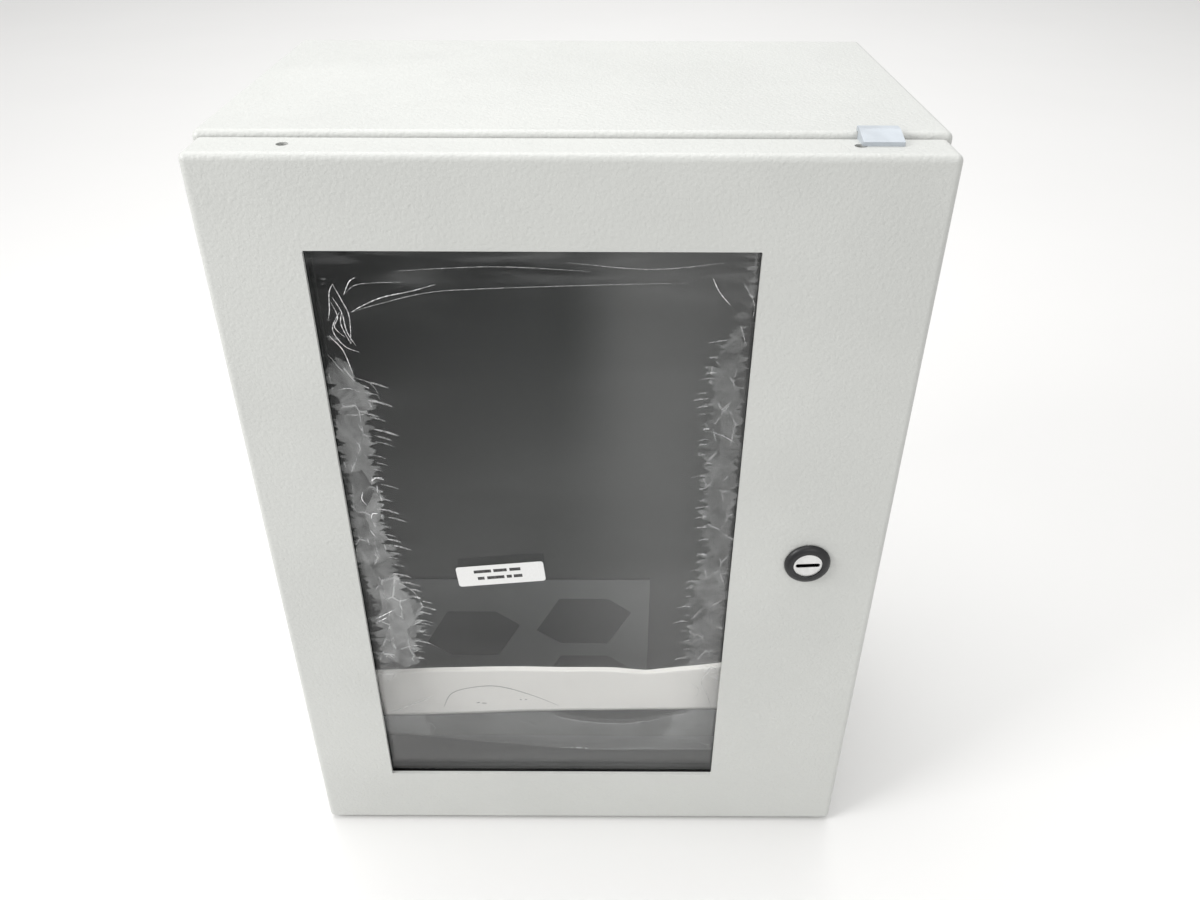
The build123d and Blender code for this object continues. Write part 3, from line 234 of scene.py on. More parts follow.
def plated(name, color, rough=0.3, brushed=(1, 1, 14)):
    """Plated metal: soft spangle, fine drawing lines and duller rubbed places."""
    s = Shader(name).set(Metallic=1.0)
    cloud = s.noise(7.0, detail=4.0, rough=0.6)
    lines = s.noise(0.45, detail=2.0, stretch=brushed)
    s.color(s.mottled(cloud, color, 0.86, 1.06))
    rubbed = s.ramp(cloud, rough - 0.07, rough + 0.12, 0.3, 0.7)
    s.rough(s.math("ADD", rubbed, s.math("MULTIPLY", lines, 0.06)))
    s.bump((lines, 0.012), (s.noise(1.8, detail=3.0), 0.01))
    return s


def zinc_plate(name, color, **finish):
    return plated(name, color, **finish).material


def moulded(name, color, rough=0.45, grain=0.5, depth=0.02, coat=0.0):
    """Moulded plastic: fine spark-eroded grain, slight flow marks and handling shine."""
    s = Shader(name).set(Coat_Weight=coat, Coat_Roughness=0.2)
    flow = s.noise(24.0, detail=3.0, warp=1.2)
    s.color(s.mottled(flow, color, 0.9, 1.1))
    s.rough(s.ramp(s.noise(5.0, detail=3.0), rough - 0.07, rough + 0.08, 0.3, 0.7))
    s.bump((s.noise(grain, detail=2.0), depth), (s.cells(grain * 2.2), depth * 0.5))
    return s.material


def rubber(name, color, pore=0.6, depth=0.06, rough=0.75):
    """Rubber or closed-cell foam with fine pores and a dusty bloom."""
    s = Shader(name)
    bloom = s.noise(11.0, detail=4.0)
    s.color(s.blend(s.ramp(bloom, 0.0, 1.0, 0.4, 0.75), color, shade(color, 1.9)))
    s.rough(s.ramp(bloom, rough - 0.1, rough + 0.12))
    s.bump((s.cells(pore), depth), (s.noise(pore * 0.5, detail=2.0), depth * 0.4))
    return s.material


def lets_light_through(s, tint=(1.0, 1.0, 1.0)):
    """Lamps shine through the clear surface instead of being stopped by it."""
    path = s.node("LightPath")
    clear = s.node("BsdfTransparent", {"Color": (*tint, 1.0)})
    shadow = path.outputs["Is Shadow Ray"]
    mixed = s.node("MixShader", {0: shadow, 1: s.main.outputs[0], 2: clear.outputs[0]})
    s.tree.links.new(mixed.outputs[0], s.output.inputs["Surface"])
    return s.material


def clear_sheet(name):
    """Clear polycarbonate: nearly flat, with a long faint ripple from the extruder."""
    s = Shader(name).set(Transmission_Weight=1.0, IOR=1.585, Base_Color=(0.97, 0.975, 0.97, 1.0))
    s.rough(s.ramp(s.noise(60.0, detail=2.0), 0.0, 0.025))
    s.bump((s.noise(55.0, detail=1.0, stretch=(1, 1, 0.4)), 0.03))
    return lets_light_through(s, (0.95, 0.955, 0.95))


def printed_paper(name, color):
    """Paper with fibres, a faint drift in tone and a soft sheen."""
    s = Shader(name)
    fibres = s.noise(0.5, detail=4.0, stretch=(1.0, 1.0, 0.35))
    s.color(s.mottled(fibres, color, 0.97, 1.02))
    s.rough(s.ramp(s.noise(9.0), 0.5, 0.62))
    s.bump((fibres, 0.02), (s.noise(14.0, detail=2.0), 0.12))
    return s.material


def circuit_board(name, color):
    """Solder-masked board: copper tracks under the mask, pads and the weave of the glass cloth."""
    s = Shader(name).set(Coat_Weight=0.5, Coat_Roughness=0.25)
    tracks = s.node("TexBrick", {
        "Vector": s.math_vector("MULTIPLY", s.mm, (1, 0, 1)), "Scale": 0.2, "Mortar Size": 0.06,
        "Color1": (0, 0, 0, 1), "Color2": (0, 0, 0, 1), "Mortar": (1, 1, 1, 1),
    }).outputs["Color"]
    pads = s.ramp(s.cells(3.1), 1.0, 0.0, 0.10, 0.16)
    mask = s.mottled(s.noise(12.0), color, 0.85, 1.1)
    s.color(s.blend(pads, s.blend(tracks, mask, shade(color, 1.5)), (0.62, 0.58, 0.5)))
    s.rough(s.ramp(s.noise(4.0), 0.3, 0.42))
    s.bump((s.waves(0.7, "X"), 0.008), (s.waves(0.7, "Z"), 0.008), (pads, 0.03))
    return s.material


def layered_steel(name, color):
    """Stacked laminations with varnish between them."""
    s = Shader(name).set(Metallic=0.7)
    layers = s.waves(1.1, "Y", warp=0.3)
    s.color(s.blend(layers, shade(color, 0.55), shade(color, 1.35)))
    s.rough(s.ramp(s.noise(3.0), 0.4, 0.6))
    s.bump((layers, 0.12), (s.noise(0.8), 0.03))
    return s.material


def wound_tape(name, color):
    """Insulating tape wound over a coil, in overlapping turns."""
    s = Shader(name).set(Coat_Weight=0.4, Coat_Roughness=0.2)
    turns = s.waves(22.0, "Y", warp=0.15)
    s.color(s.blend(s.ramp(turns, 0.0, 1.0, 0.1, 0.9), shade(color, 0.75), color))
    s.rough(s.ramp(s.noise(5.0), 0.3, 0.45))
    s.bump((turns, 0.15), (s.noise(2.5, detail=3.0), 0.05))
    return s.material


def tinted_lens(name, color):
    """Tinted lamp lens with a frosted underside."""
    s = Shader(name).set(Transmission_Weight=0.35, IOR=1.49, Coat_Weight=0.8, Coat_Roughness=0.05)
    s.color(s.mottled(s.noise(2.0), color, 0.8, 1.1))
    s.rough(s.ramp(s.noise(1.2, detail=3.0), 0.15, 0.3))
    s.bump((s.cells(0.7), 0.03))
    return s.material


def attribute(s, name):
    return s.node("Attribute", attribute_name=name).outputs["Fac"]


# How far behind a piece's front the painted shade of its slot or recess starts, and over what depth it
# deepens.
SLOT_SHADE_FROM = 0.35
SLOT_SHADE_OVER = 0.25
RECESS_SHADE_FROM = 0.2
RECESS_SHADE_OVER = 0.2


def slotted_nickel(name):
    """Bright plated key face, with painted shade that darkens its slot to near black inside."""
    s = plated(name, (0.82, 0.82, 0.81), rough=0.3, brushed=(2, 1, 2))
    # Painted shade: the slot turns nearly black once past SLOT_SHADE_FROM behind the core's front.
    inside = s.depth_into(door_mm(CORE_LOW)[2] + SLOT_SHADE_FROM, SLOT_SHADE_OVER)
    return s.color(s.blend(inside, s.tone, (0.004, 0.004, 0.004))).material


def recessed_cover(name, color, recess_shade_color):
    """Cover with a paint finish, and painted shade in its flat recesses."""
    s = Shader(name)
    inside = s.depth_into(door_mm(COVER_LOW)[2] + RECESS_SHADE_FROM, RECESS_SHADE_OVER)
    drift = s.mottled(s.noise(30.0, detail=3.0), color, 0.93, 1.06)
    # Painted shade: past RECESS_SHADE_FROM behind the cover's front, its colour turns to the dark recess
    # shade colour.
    s.color(s.blend(inside, drift, recess_shade_color))
    s.rough(s.ramp(s.noise(6.0), 0.45, 0.6))
    s.bump((s.noise(1.0, detail=2.0), 0.02))
    return s.material


EDGE_RAGGED_BY = 17.0
SMEAR_BELOW_TOP = (28.0, 8.0)


def loose_film(name):
    """Thin clear film: invisible where it clings, milky and creased where it has come loose, with a painted
    sheen along its creases.
    """
    s = Shader(name).set(Base_Color=(0.80, 0.81, 0.805, 1.0), Roughness=0.32)
    streaks = s.noise(2.6, detail=2.0, stretch=(0.22, 1, 0.9), warp=0.5)
    shift = s.math("MULTIPLY", s.math("SUBTRACT", streaks, 0.5), EDGE_RAGGED_BY)
    ragged = s.math("ADD", attribute(s, "edge"), shift)
    loose = s.ramp(ragged, 0.0, 1.0, -0.4, 0.8)
    milk = s.ramp(s.noise(13.0, detail=4.0, rough=0.6, warp=0.8), 0.09, 0.24, 0.3, 0.7)
    across, _, level = s.node("SeparateXYZ", {0: s.mm}).outputs
    facets = s.ramp(s.cells(13.0, stretch=(1, 1, 0.6), output="Color"), -0.06, 0.035, 0.3, 0.7)
    milk = s.math("MULTIPLY", s.math("ADD", milk, facets), s.ramp(across, 1.0, 0.55, -40.0, 40.0))
    # Painted sheen: thin lines along cell edges, in patches, make the loose film whiter and more opaque.
    fold_sheen = s.ramp(s.cells(9.0, feature="DISTANCE_TO_EDGE", stretch=(1, 1, 0.55)), 0.22, 0.0, 0.0, 0.05)
    fold_sheen = s.math("MULTIPLY", fold_sheen, s.ramp(s.noise(8.0), 0.0, 1.0, 0.45, 0.6))
    haze = s.ramp(s.noise(30.0, detail=3.0, stretch=(0.3, 1, 1)), 0.004, 0.022, 0.4, 0.75)
    top = FILM_HIGH.z / MM
    near_top = s.ramp(level, 0.0, 1.0, top - SMEAR_BELOW_TOP[0], top - SMEAR_BELOW_TOP[1])
    wiped = s.noise(7.0, detail=3.0, stretch=(0.12, 1, 1), warp=0.6)
    smear = s.math("MULTIPLY", near_top, s.ramp(wiped, 0.0, 0.075, 0.4, 0.7))
    haze = s.math("ADD", haze, smear)
    s.alpha(s.math("ADD", haze, s.math("MULTIPLY", loose, s.math("ADD", milk, fold_sheen))))
    s.bump((s.noise(5.0, detail=3.0), 0.3), (s.cells(9.0, stretch=(1, 1, 0.55)), 0.25))
    return s.material


def crease_glint(name):
    """Sharp crease in clear plastic, with a painted glint in broken stretches."""
    s = Shader(name).set(Base_Color=(0.95, 0.95, 0.95, 1.0), Roughness=0.25)
    broken = s.ramp(s.noise(1.8, detail=2.0), 0.35, 1.0, 0.42, 0.58)
    # Painted glint: near-white whose opacity follows each crease's glint value, broken up by noise.
    s.alpha(s.math("MULTIPLY", attribute(s, "glint"), broken))
    s.bump((s.noise(0.8, detail=2.0), 0.1))
    return s.material


def bag_film(name):
    """Slack polythene: a grey veil, doubled at its ends and open in a dark lens below the paper."""
    s = Shader(name).set(Base_Color=(0.72, 0.73, 0.735, 1.0), Roughness=0.3)
    veil = s.ramp(attribute(s, "veil"), 0.105, 0.23, -1.5, 1.5)
    veil = s.math("ADD", veil, s.ramp(s.noise(11.0, detail=4.0, warp=1.0), -0.03, 0.04, 0.3, 0.7))
    opening = s.ramp(attribute(s, "opening"), 1.0, 0.02, -0.3, 0.3)
    bare = s.ramp(attribute(s, "bare"), 0.25, 1.0, -1.5, 0.5)
    s.alpha(s.math("MULTIPLY", veil, s.math("MULTIPLY", opening, bare)))
    s.bump((s.noise(6.0, detail=3.0, warp=0.8), 0.5), (s.cells(12.0), 0.3))
    return s.material


def printing_ink(name):
    """Black ink, worn thin in places."""
    s = Shader(name)
    worn = s.ramp(s.noise(0.7, detail=2.0), 0.0, 1.0, 0.4, 0.8)
    s.color(s.blend(worn, (0.03, 0.03, 0.03), (0.12, 0.12, 0.12)))
    s.rough(s.ramp(s.noise(2.0), 0.4, 0.55))
    return s.material


def pencil_line(name):
    """Faint grey line drawn on paper."""
    s = Shader(name).set(Roughness=0.7)
    pressed = s.ramp(s.noise(1.0, detail=2.0), 0.0, 1.0, 0.3, 0.7)
    s.color(s.blend(pressed, (0.13, 0.13, 0.13), (0.3, 0.3, 0.29)))
    return s.material


# The record's slots, then the finishes that single pieces have.
MATERIALS = {
    "grey_powder_coat": lambda n: powder_coat(n, (0.55, 0.557, 0.535), peel=1.7, depth=0.25),
    "white_powder_coat": lambda n: powder_coat(n, (0.72, 0.72, 0.70), peel=1.2, depth=0.03),
    "charcoal_powder_coat": lambda n: powder_coat(n, (0.030, 0.032, 0.032), peel=1.0, depth=0.02, rough=0.5),
    "black_steel": lambda n: powder_coat(n, (0.012, 0.012, 0.012), peel=0.9, depth=0.02, rough=0.5),
    "zinc_plate": lambda n: zinc_plate(n, (0.60, 0.61, 0.62)),
    "stainless_steel": lambda n: zinc_plate(n, (0.56, 0.56, 0.55), rough=0.24, brushed=(10, 10, 1)),
    "nickel_plate": slotted_nickel,
    "brass_plate": lambda n: zinc_plate(n, (0.62, 0.46, 0.2), rough=0.25, brushed=(1, 12, 1)),
    "lamination_steel": lambda n: layered_steel(n, (0.16, 0.15, 0.14)),
    "black_rubber": lambda n: rubber(n, (0.018, 0.018, 0.018), pore=0.4, depth=0.02, rough=0.6),
    "black_foam": lambda n: rubber(n, (0.02, 0.02, 0.02)),
    "clear_polycarbonate": clear_sheet,
    "clear_film": loose_film,
    "label_paper": lambda n: printed_paper(n, (0.74, 0.74, 0.73)),
    "grey_plastic": lambda n: moulded(n, (0.42, 0.455, 0.49), rough=0.38),
    "black_plastic": lambda n: moulded(n, (0.012, 0.012, 0.013), rough=0.36),
    "charcoal_plastic": lambda n: moulded(n, (0.03, 0.032, 0.032), rough=0.5),
    "display_glass": lambda n: moulded(n, (0.02, 0.035, 0.025), rough=0.12, depth=0.004, coat=0.8),
    "amber_lens": lambda n: tinted_lens(n, (0.75, 0.3, 0.03)),
    "grey_button": lambda n: moulded(n, (0.28, 0.29, 0.29), rough=0.5),
    "red_button": lambda n: moulded(n, (0.48, 0.02, 0.015), rough=0.45),
    "circuit_board": lambda n: circuit_board(n, (0.012, 0.09, 0.035)),
    "battery_case": lambda n: moulded(n, (0.03, 0.03, 0.033), rough=0.55, grain=0.8, depth=0.05),
    "coil_tape": lambda n: wound_tape(n, (0.6, 0.38, 0.03)),
    "green_plastic": lambda n: moulded(n, (0.03, 0.2, 0.07)),
    "relay_case": lambda n: moulded(n, (0.012, 0.05, 0.2), rough=0.25, coat=0.3),
    "component_case": lambda n: moulded(n, (0.015, 0.015, 0.017), rough=0.5),
    "clear_bag": bag_film,
    "leaflet_paper": lambda n: printed_paper(n, (0.86, 0.84, 0.815)),
    "module_cover_paint": lambda n: recessed_cover(n, (0.092, 0.096, 0.096), (0.03, 0.031, 0.032)),
    "crease_glint": crease_glint,
    "printing_ink": printing_ink,
    "pencil_line": pencil_line,
}
made = {}


def finish_for(name):
    """The material of that name, made once."""
    if name not in made:
        made[name] = MATERIALS[name](name)
    return made[name]


SMOOTH_UNDER = math.radians(32)

for part in frame["record"]["subparts"]:
    node = frame["nodes"][part["node"]]
    node.data.materials.clear()
    node.data.materials.append(finish_for(part["material_slot"]))
    node.data.shade_smooth()
    node.data.set_sharp_from_angle(angle=SMOOTH_UNDER)

frame["nodes"]["module_cover"].data.materials[0] = finish_for("module_cover_paint")


# ---- Meshes made here ----
def grid_mesh(name, columns, rows, place):
    """Sheet over a grid of columns and rows, with place(column, row) giving each point."""
    points = [place(u, v) for v in rows for u in columns]
    wide = len(columns)
    faces = [
        (j * wide + i, j * wide + i + 1, (j + 1) * wide + i + 1, (j + 1) * wide + i)
        for j in range(len(rows) - 1)
        for i in range(wide - 1)
    ]
    mesh = bpy.data.meshes.new(name)
    mesh.from_pydata(points, [], faces)
    mesh.shade_smooth()
    return mesh


def give(mesh, name, values):
    """A number for each point of a mesh, for its material to read."""
    layer = mesh.attributes.new(name, "FLOAT", "POINT")
    layer.data.foreach_set("value", np.asarray(values, dtype=np.float32))


def piece(name, mesh, body, nodes, finishes):
    """Visible piece that rides on a body and stands for CAD nodes, with its finishes by name."""
    made_piece = bpy.data.objects.new(name, mesh)
    for finish in finishes:
        mesh.materials.append(finish_for(finish))
    bpy.context.scene.collection.objects.link(made_piece)
    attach(made_piece, body)
    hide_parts(*nodes)
    return made_piece


def along(curve, at):
    """Height of a curve, given by a few points, at a place."""
    return float(np.interp(at, [point[0] for point in curve], [point[1] for point in curve]))


def through(a, b, c, d, t):
    """Catmull-Rom curve from b, where t is 0, to c, where it is 1, with a before them and d after."""
    bend = 2 * a - 5 * b + 4 * c - d
    swing = 3 * b - a - 3 * c + d
    return 0.5 * (2 * b + (c - a) * t + bend * t * t + swing * t ** 3)


def smooth_line(points, steps=6):
    """Curve through a few points, as more of them."""
    ends = [points[0], *points, points[-1]]
    line = []
    for before, start, end, after in zip(ends, ends[1:], ends[2:], ends[3:]):
        for step in range(steps):
            t = step / steps
            line.append(tuple(through(*corners, t) for corners in zip(before, start, end, after)))
    return line + [points[-1]]


# A ridge's ends are TIP of a step short of vanishing, and a lower TAPER keeps it full for longer.
TIP = 0.35
TAPER = 0.6


class Ridges:
    """Thin three-sided ridges that taper towards both ends, gathered into one mesh.

    place(x, z, lift) gives the point of the mesh for a place on the sheet and a height above it.
    """

    def __init__(self, place):
        self.place = place
        self.points = []
        self.faces = []
        self.glints = []

    def add(self, line, width, height, glint=1.0):
        line = smooth_line(line)
        first = len(self.points)
        count = len(line)
        for index, (x, z) in enumerate(line):
            ahead = Vector(line[min(index + 1, count - 1)]) - Vector(line[max(index - 1, 0)])
            side = Vector((-ahead.y, ahead.x)).normalized()
            swell = math.sin(math.pi * (index + TIP) / (count - 1 + 2 * TIP)) ** TAPER
            for shift, lift in ((-0.5, 0.0), (0.0, height * swell), (0.5, 0.0)):
                spot = Vector((x, z)) + side * (shift * width * swell)
                self.points.append(self.place(spot.x, spot.y, lift))
        for index in range(count - 1):
            a = first + 3 * index
            for i, j in ((0, 1), (1, 2), (2, 0)):
                self.faces.append((a + i, a + j, a + 3 + j, a + 3 + i))
        last = first + 3 * (count - 1)
        self.faces += [(first + 2, first + 1, first), (last, last + 1, last + 2)]
        self.glints += [glint] * (3 * count)

    def mesh(self, name):
        mesh = bpy.data.meshes.new(name)
        mesh.from_pydata(self.points, [], self.faces)
        give(mesh, "glint", self.glints)
        return mesh


# ---- Protective film: it clings to the pane in the middle and has come loose along both sides ----
PANE_DEPTH = door_mm(PANE_LOW)[2]
FILM_CLINGS = 0.06
FILM_LOOSE_BY = 1.1
FILM_LOOSE_FROM = 118.0
FILM_CLINGS_AT = -12.0
FILM_RISES_OVER = 6.0
FILM_CRUMPLE = (7.0, 11.0)

# Outer and inner edges of the two loose bands, as (height, place across), both in door coordinates.
LEFT_OUTER = ((40, 46), (130, 45), (165, 47), (200, 43), (256, 43), (307, 45), (330, 50))
LEFT_INNER = (
    (118, 50), (130, 66), (160, 70), (172, 72), (185, 64),
    (200, 61), (256, 58), (300, 61), (318, 50), (332, 46),
)
RIGHT_OUTER = ((40, 229), (235, 229), (290, 228), (313, 225), (345, 229))
RIGHT_INNER = (
    (118, 229), (130, 212), (168, 210), (208, 216), (235, 215),
    (271, 213), (313, 213), (326, 218), (345, 227),
)

# The film's mesh is fine over the two bands and coarse between them.
FINE_LEFT_TO = 84.0
FINE_RIGHT_FROM = 202.0
FINE_STEP = 1.0
COARSE_STEP = 4.0
ROW_STEP = 1.5


def film_edge(x, z):
    """Distance inside the loose film, in millimetres, or outside it if negative."""
    left = min(x - along(LEFT_OUTER, z), along(LEFT_INNER, z) - x)
    right = min(along(RIGHT_OUTER, z) - x, x - along(RIGHT_INNER, z))
    below = min(0.0, z - FILM_LOOSE_FROM)
    return max(max(left, right) + below, FILM_CLINGS_AT)


def film_place(x, z):
    """Point of the film: on the pane where it clings, up to FILM_LOOSE_BY off it where it is loose."""
    rise = max(0.0, min(1.0, (film_edge(x, z) + FILM_RISES_OVER / 2) / FILM_RISES_OVER))
    crumple = 0.5 + 0.5 * noise.noise(Vector((x / FILM_CRUMPLE[0], z / FILM_CRUMPLE[1], 0.0)))
    return on_door(x, z, PANE_DEPTH - FILM_CLINGS - FILM_LOOSE_BY * rise * crumple)


def film_ridge_place(x, z, lift):
    return film_place(x, z) - Vector((0, lift * MM, 0))


def make_film():
    low_x, low_z, _ = door_mm(FILM_LOW)
    high_x, high_z, _ = door_mm(FILM_HIGH)
    left = np.arange(low_x, FINE_LEFT_TO, FINE_STEP)
    middle = np.arange(FINE_LEFT_TO, FINE_RIGHT_FROM, COARSE_STEP)
    right = np.arange(FINE_RIGHT_FROM, high_x, FINE_STEP)
    columns = [*left, *middle, *right, high_x]
    rows = [*np.arange(low_z, high_z, ROW_STEP), high_z]
    mesh = grid_mesh("film_sheet", columns, rows, film_place)
    give(mesh, "edge", [film_edge(x, z) for z in rows for x in columns])
    piece("film_sheet", mesh, "door", ["protective_film"], ["clear_film"])


# Creases of the film as (across, height): bright ones, mostly by the window's upper left corner, and
# faint ones, with the long folds below the window's top.
BRIGHT_CREASES = (
    ((52, 351), (50, 347), (49, 339), (48, 335)), ((52, 351), (55, 343), (57, 336), (56, 323)),
    ((53, 338), (49, 330), (53, 322), (59, 319)), ((54, 338), (53, 332), (56, 323)),
    ((47, 327), (52, 320), (55, 308)), ((56, 346), (59, 352), (62, 354)),
    ((58, 338), (63, 341), (72, 345), (85, 348), (95, 351)), ((51, 345), (54, 338), (55, 329), (58, 322)),
    ((50, 343), (52, 336), (50, 331), (54, 326)), ((211, 354), (214, 348), (219, 342)),
    ((47, 162), (52, 165), (58, 169)), ((48, 160), (53, 163)), ((55, 250), (58, 252), (61, 252)),
    ((51, 244), (50, 240), (52, 236)), ((53, 228), (54, 231), (57, 231)), ((59, 302), (61, 301)),
)
FAINT_CREASES = (
    ((58, 338), (67, 341), (90, 347), (113, 349), (164, 351), (201, 352)), ((57, 347), (63, 351), (81, 352)),
    ((45, 318), (51, 309)), ((54, 307), (61, 304), (64, 300), (65, 295)),
    ((59, 187), (63, 186), (69, 180), (72, 172), (72, 164)), ((57, 184), (62, 190), (67, 192)),
    ((224, 352), (229, 343), (229, 336)), ((224, 333), (227, 324)), ((211, 324), (220, 326)),
    ((47, 300), (52, 301), (57, 299)), ((46, 288), (53, 287), (59, 288)),
    ((214, 279), (220, 277), (226, 273)), ((80, 357), (120, 359), (160, 357)),
    ((150, 361), (185, 358), (215, 361)),
)
# Width and height of the drawn creases, and how brightly they glint.
CREASE_SIZE = (0.42, 0.25)
CREASE_GLINT = 0.8
FAINT_SIZE = (0.34, 0.15)
FAINT_GLINT = 0.3

# Short creases along each band's inner edge. A pair is a range to draw from, apart from droop, which is
# how far a crease has sunk at its middle and at its end, for each millimetre of its reach.
FRINGE_FROM = 134.0
SHORT_CREASE_HIGH = 0.15
LEFT_FRINGE = {
    "edge": LEFT_INNER, "toward": 1, "top": 306.0, "start": (-3.0, 2.0), "reach": (4.0, 11.0),
    "droop": (0.14, 0.34), "width": (0.5, 1.1), "glint": (0.12, 0.3), "step": (2.5, 7.0),
}
RIGHT_FRINGE = {
    "edge": RIGHT_INNER, "toward": -1, "top": 318.0, "start": (-1.0, 3.0), "reach": (2.5, 8.0),
    "droop": (0.05, 0.2), "width": (0.4, 1.0), "glint": (0.1, 0.25), "step": (2.5, 8.0),
}
FLECKS = 26
FLECKS_TO = 300.0
FLECK_WIDE = 0.35


def add_fringe(ridges, draw, side):
    """Short creases up one side, from the loose band's inner edge over the film that clings."""
    z = FRINGE_FROM
    while z < side["top"]:
        start = along(side["edge"], z) + draw.uniform(*side["start"])
        reach = draw.uniform(*side["reach"])
        middle = (start + side["toward"] * reach / 2, z - reach * side["droop"][0])
        end = (start + side["toward"] * reach, z - reach * side["droop"][1])
        width = draw.uniform(*side["width"])
        ridges.add(((start, z), middle, end), width, SHORT_CREASE_HIGH, glint=draw.uniform(*side["glint"]))
        z += draw.uniform(*side["step"])


def add_flecks(ridges, draw):
    """Small creases scattered over the left band."""
    for _ in range(FLECKS):
        z = draw.uniform(FRINGE_FROM, FLECKS_TO)
        x = draw.uniform(along(LEFT_OUTER, z), along(LEFT_INNER, z))
        end = (x + draw.uniform(-2, 3), z - draw.uniform(1.5, 5.0))
        ridges.add(((x, z), end), FLECK_WIDE, SHORT_CREASE_HIGH, glint=draw.uniform(0.15, 0.6))


def make_film_creases():
    ridges = Ridges(film_ridge_place)
    draw = random.Random(7)
    for line in BRIGHT_CREASES:
        ridges.add(line, *CREASE_SIZE, glint=CREASE_GLINT)
    for line in FAINT_CREASES:
        ridges.add(line, *FAINT_SIZE, glint=FAINT_GLINT)
    add_fringe(ridges, draw, LEFT_FRINGE)
    add_fringe(ridges, draw, RIGHT_FRINGE)
    add_flecks(ridges, draw)
    piece("film_creases", ridges.mesh("film_creases"), "door", ["protective_film"],
          ["crease_glint"])


# ---- Small printed label on the film ----
LABEL_SIZE = (44.5, 12.7)
LABEL_CORNER = 1.5
LABEL_TILT = math.radians(5.8)
LABEL_PROUD = 0.12
INK_PROUD = 0.03
LABEL_LINES = (
    (1.7, ((-13.4, -4.6), (-3.4, 3.4), (4.8, 10.4))),
    (-2.7, ((-12.0, -8.6), (-7.2, 1.6), (2.8, 5.4), (6.4, 10.8))),
)
LABEL_LINE_HIGH = 1.9


def rounded_outline(width, height, radius, steps=5):
    """Corner points of a rounded rectangle about its centre, counter-clockwise."""
    points = []
    for quarter, (side_x, side_z) in enumerate(((1, 1), (-1, 1), (-1, -1), (1, -1))):
        centre = (side_x * (width / 2 - radius), side_z * (height / 2 - radius))
        for step in range(steps + 1):
            angle = math.radians(90 * (quarter + step / steps))
            points.append((centre[0] + radius * math.cos(angle), centre[1] + radius * math.sin(angle)))
    return points


def walls(first, count):
    """Faces between a ring of points and the ring of as many points that follows it."""
    return [
        (first + i, first + (i + 1) % count, first + (i + 1) % count + count, first + i + count)
        for i in range(count)
    ]


def make_label():
    """Card with plain raised bars where lines of print would be."""
    low, high = door_mm(LABEL_LOW), door_mm(LABEL_HIGH)
    middle = ((low[0] + high[0]) / 2, (low[1] + high[1]) / 2)
    base = door_mm(FILM_LOW)[2]

    def place(x, z, out):
        turned = (x * math.cos(LABEL_TILT) - z * math.sin(LABEL_TILT),
                  x * math.sin(LABEL_TILT) + z * math.cos(LABEL_TILT))
        return on_door(middle[0] + turned[0], middle[1] + turned[1], base - out)

    outline = rounded_outline(*LABEL_SIZE, LABEL_CORNER)
    count = len(outline)
    points = [place(x, z, 0.0) for x, z in outline] + [place(x, z, LABEL_PROUD) for x, z in outline]
    faces = [tuple(range(count))[::-1], tuple(range(count, 2 * count))]
    faces += walls(0, count)
    finishes = [0] * len(faces)
    for level, words in LABEL_LINES:
        for start, end in words:
            first = len(points)
            top = level + LABEL_LINE_HIGH
            bar = ((start, level), (end, level), (end, top), (start, top))
            points += [place(x, z, LABEL_PROUD) for x, z in bar]
            points += [place(x, z, LABEL_PROUD + INK_PROUD) for x, z in bar]
            faces.append(tuple(range(first + 4, first + 8)))
            faces += walls(first, 4)
            finishes += [1] * 5
    mesh = bpy.data.meshes.new("film_label")
    mesh.from_pydata(points, [], faces)
    mesh.polygons.foreach_set("material_index", finishes)
    piece("film_label", mesh, "door", ["window_label"],
          ["label_paper", "printing_ink"])


# ---- Leaflet in its clear bag, standing in the foot of the pan and leaning on the door side ----
BAG_LEAN = math.radians(9)
BAG_FOOT_BEHIND = 4.0
BAG_FOOT_DEPTH = door_mm(BAG_HIGH)[2] + BAG_FOOT_BEHIND
BAG_FOOT_UP = 0.4
BAG_FOOT_Z = door_mm(BAG_LOW)[1] + BAG_FOOT_UP
BAG_SIDES = (door_mm(BAG_LOW)[0], door_mm(BAG_HIGH)[0])
BAG_BOTTOM = ((30, 22.5), (61, 18), (91, 12), (135, 4.5), (168, 1.2), (212, 2.5), (258, 3.5))
BAG_ABOVE_PAPER = 0.9
BAG_BACK_OUT = 0.3
BAG_THIN = 0.4
BAG_SWELL = 2.4
BAG_SIDE_TAPER = 9.0
BAG_FOOT_TAPER = 14.0
BAG_CRUMPLE = 0.5
BAG_GRID = (115, 91)
PAPER_SIDES = (36.6, 252.5)
PAPER_TOP = (
    (36, 85.5), (67, 87.5), (97, 88.6), (150, 89.2), (173, 89.2), (191, 87), (212, 91), (232, 94), (252, 96),
)
PAPER_BOTTOM = ((36, 42), (94, 43.5), (136, 46.1), (167, 47.5), (213, 49.5), (252, 50))
PAPER_SHEETS = 3
PAPER_PITCH = 0.35
PAPER_STEP_UP = 0.9
PAPER_OUT = 1.2
PAPER_THICK = 0.12
PAPER_GRID = (73, 19)
VEIL_LEFT = ((0, 63), (18, 63), (38, 60), (50, 64))
VEIL_RIGHT = ((0, 158), (4, 178), (17, 202), (34, 208), (50, 207))
OPENING_LOW = ((136, 45.5), (146, 39), (162, 36), (179, 35), (196, 39.5), (213, 46), (219, 50))
OPENING_UNDER_PAPER = 1.0
BESIDE_OPENING = -3.0


def in_bag(x, up, out):
    """Point in the leaning bag: across from the door's left edge, up from its foot, out to the front."""
    return on_door(x, BAG_FOOT_Z + up * math.cos(BAG_LEAN) - out * math.sin(BAG_LEAN),
                   BAG_FOOT_DEPTH - up * math.sin(BAG_LEAN) - out * math.cos(BAG_LEAN))


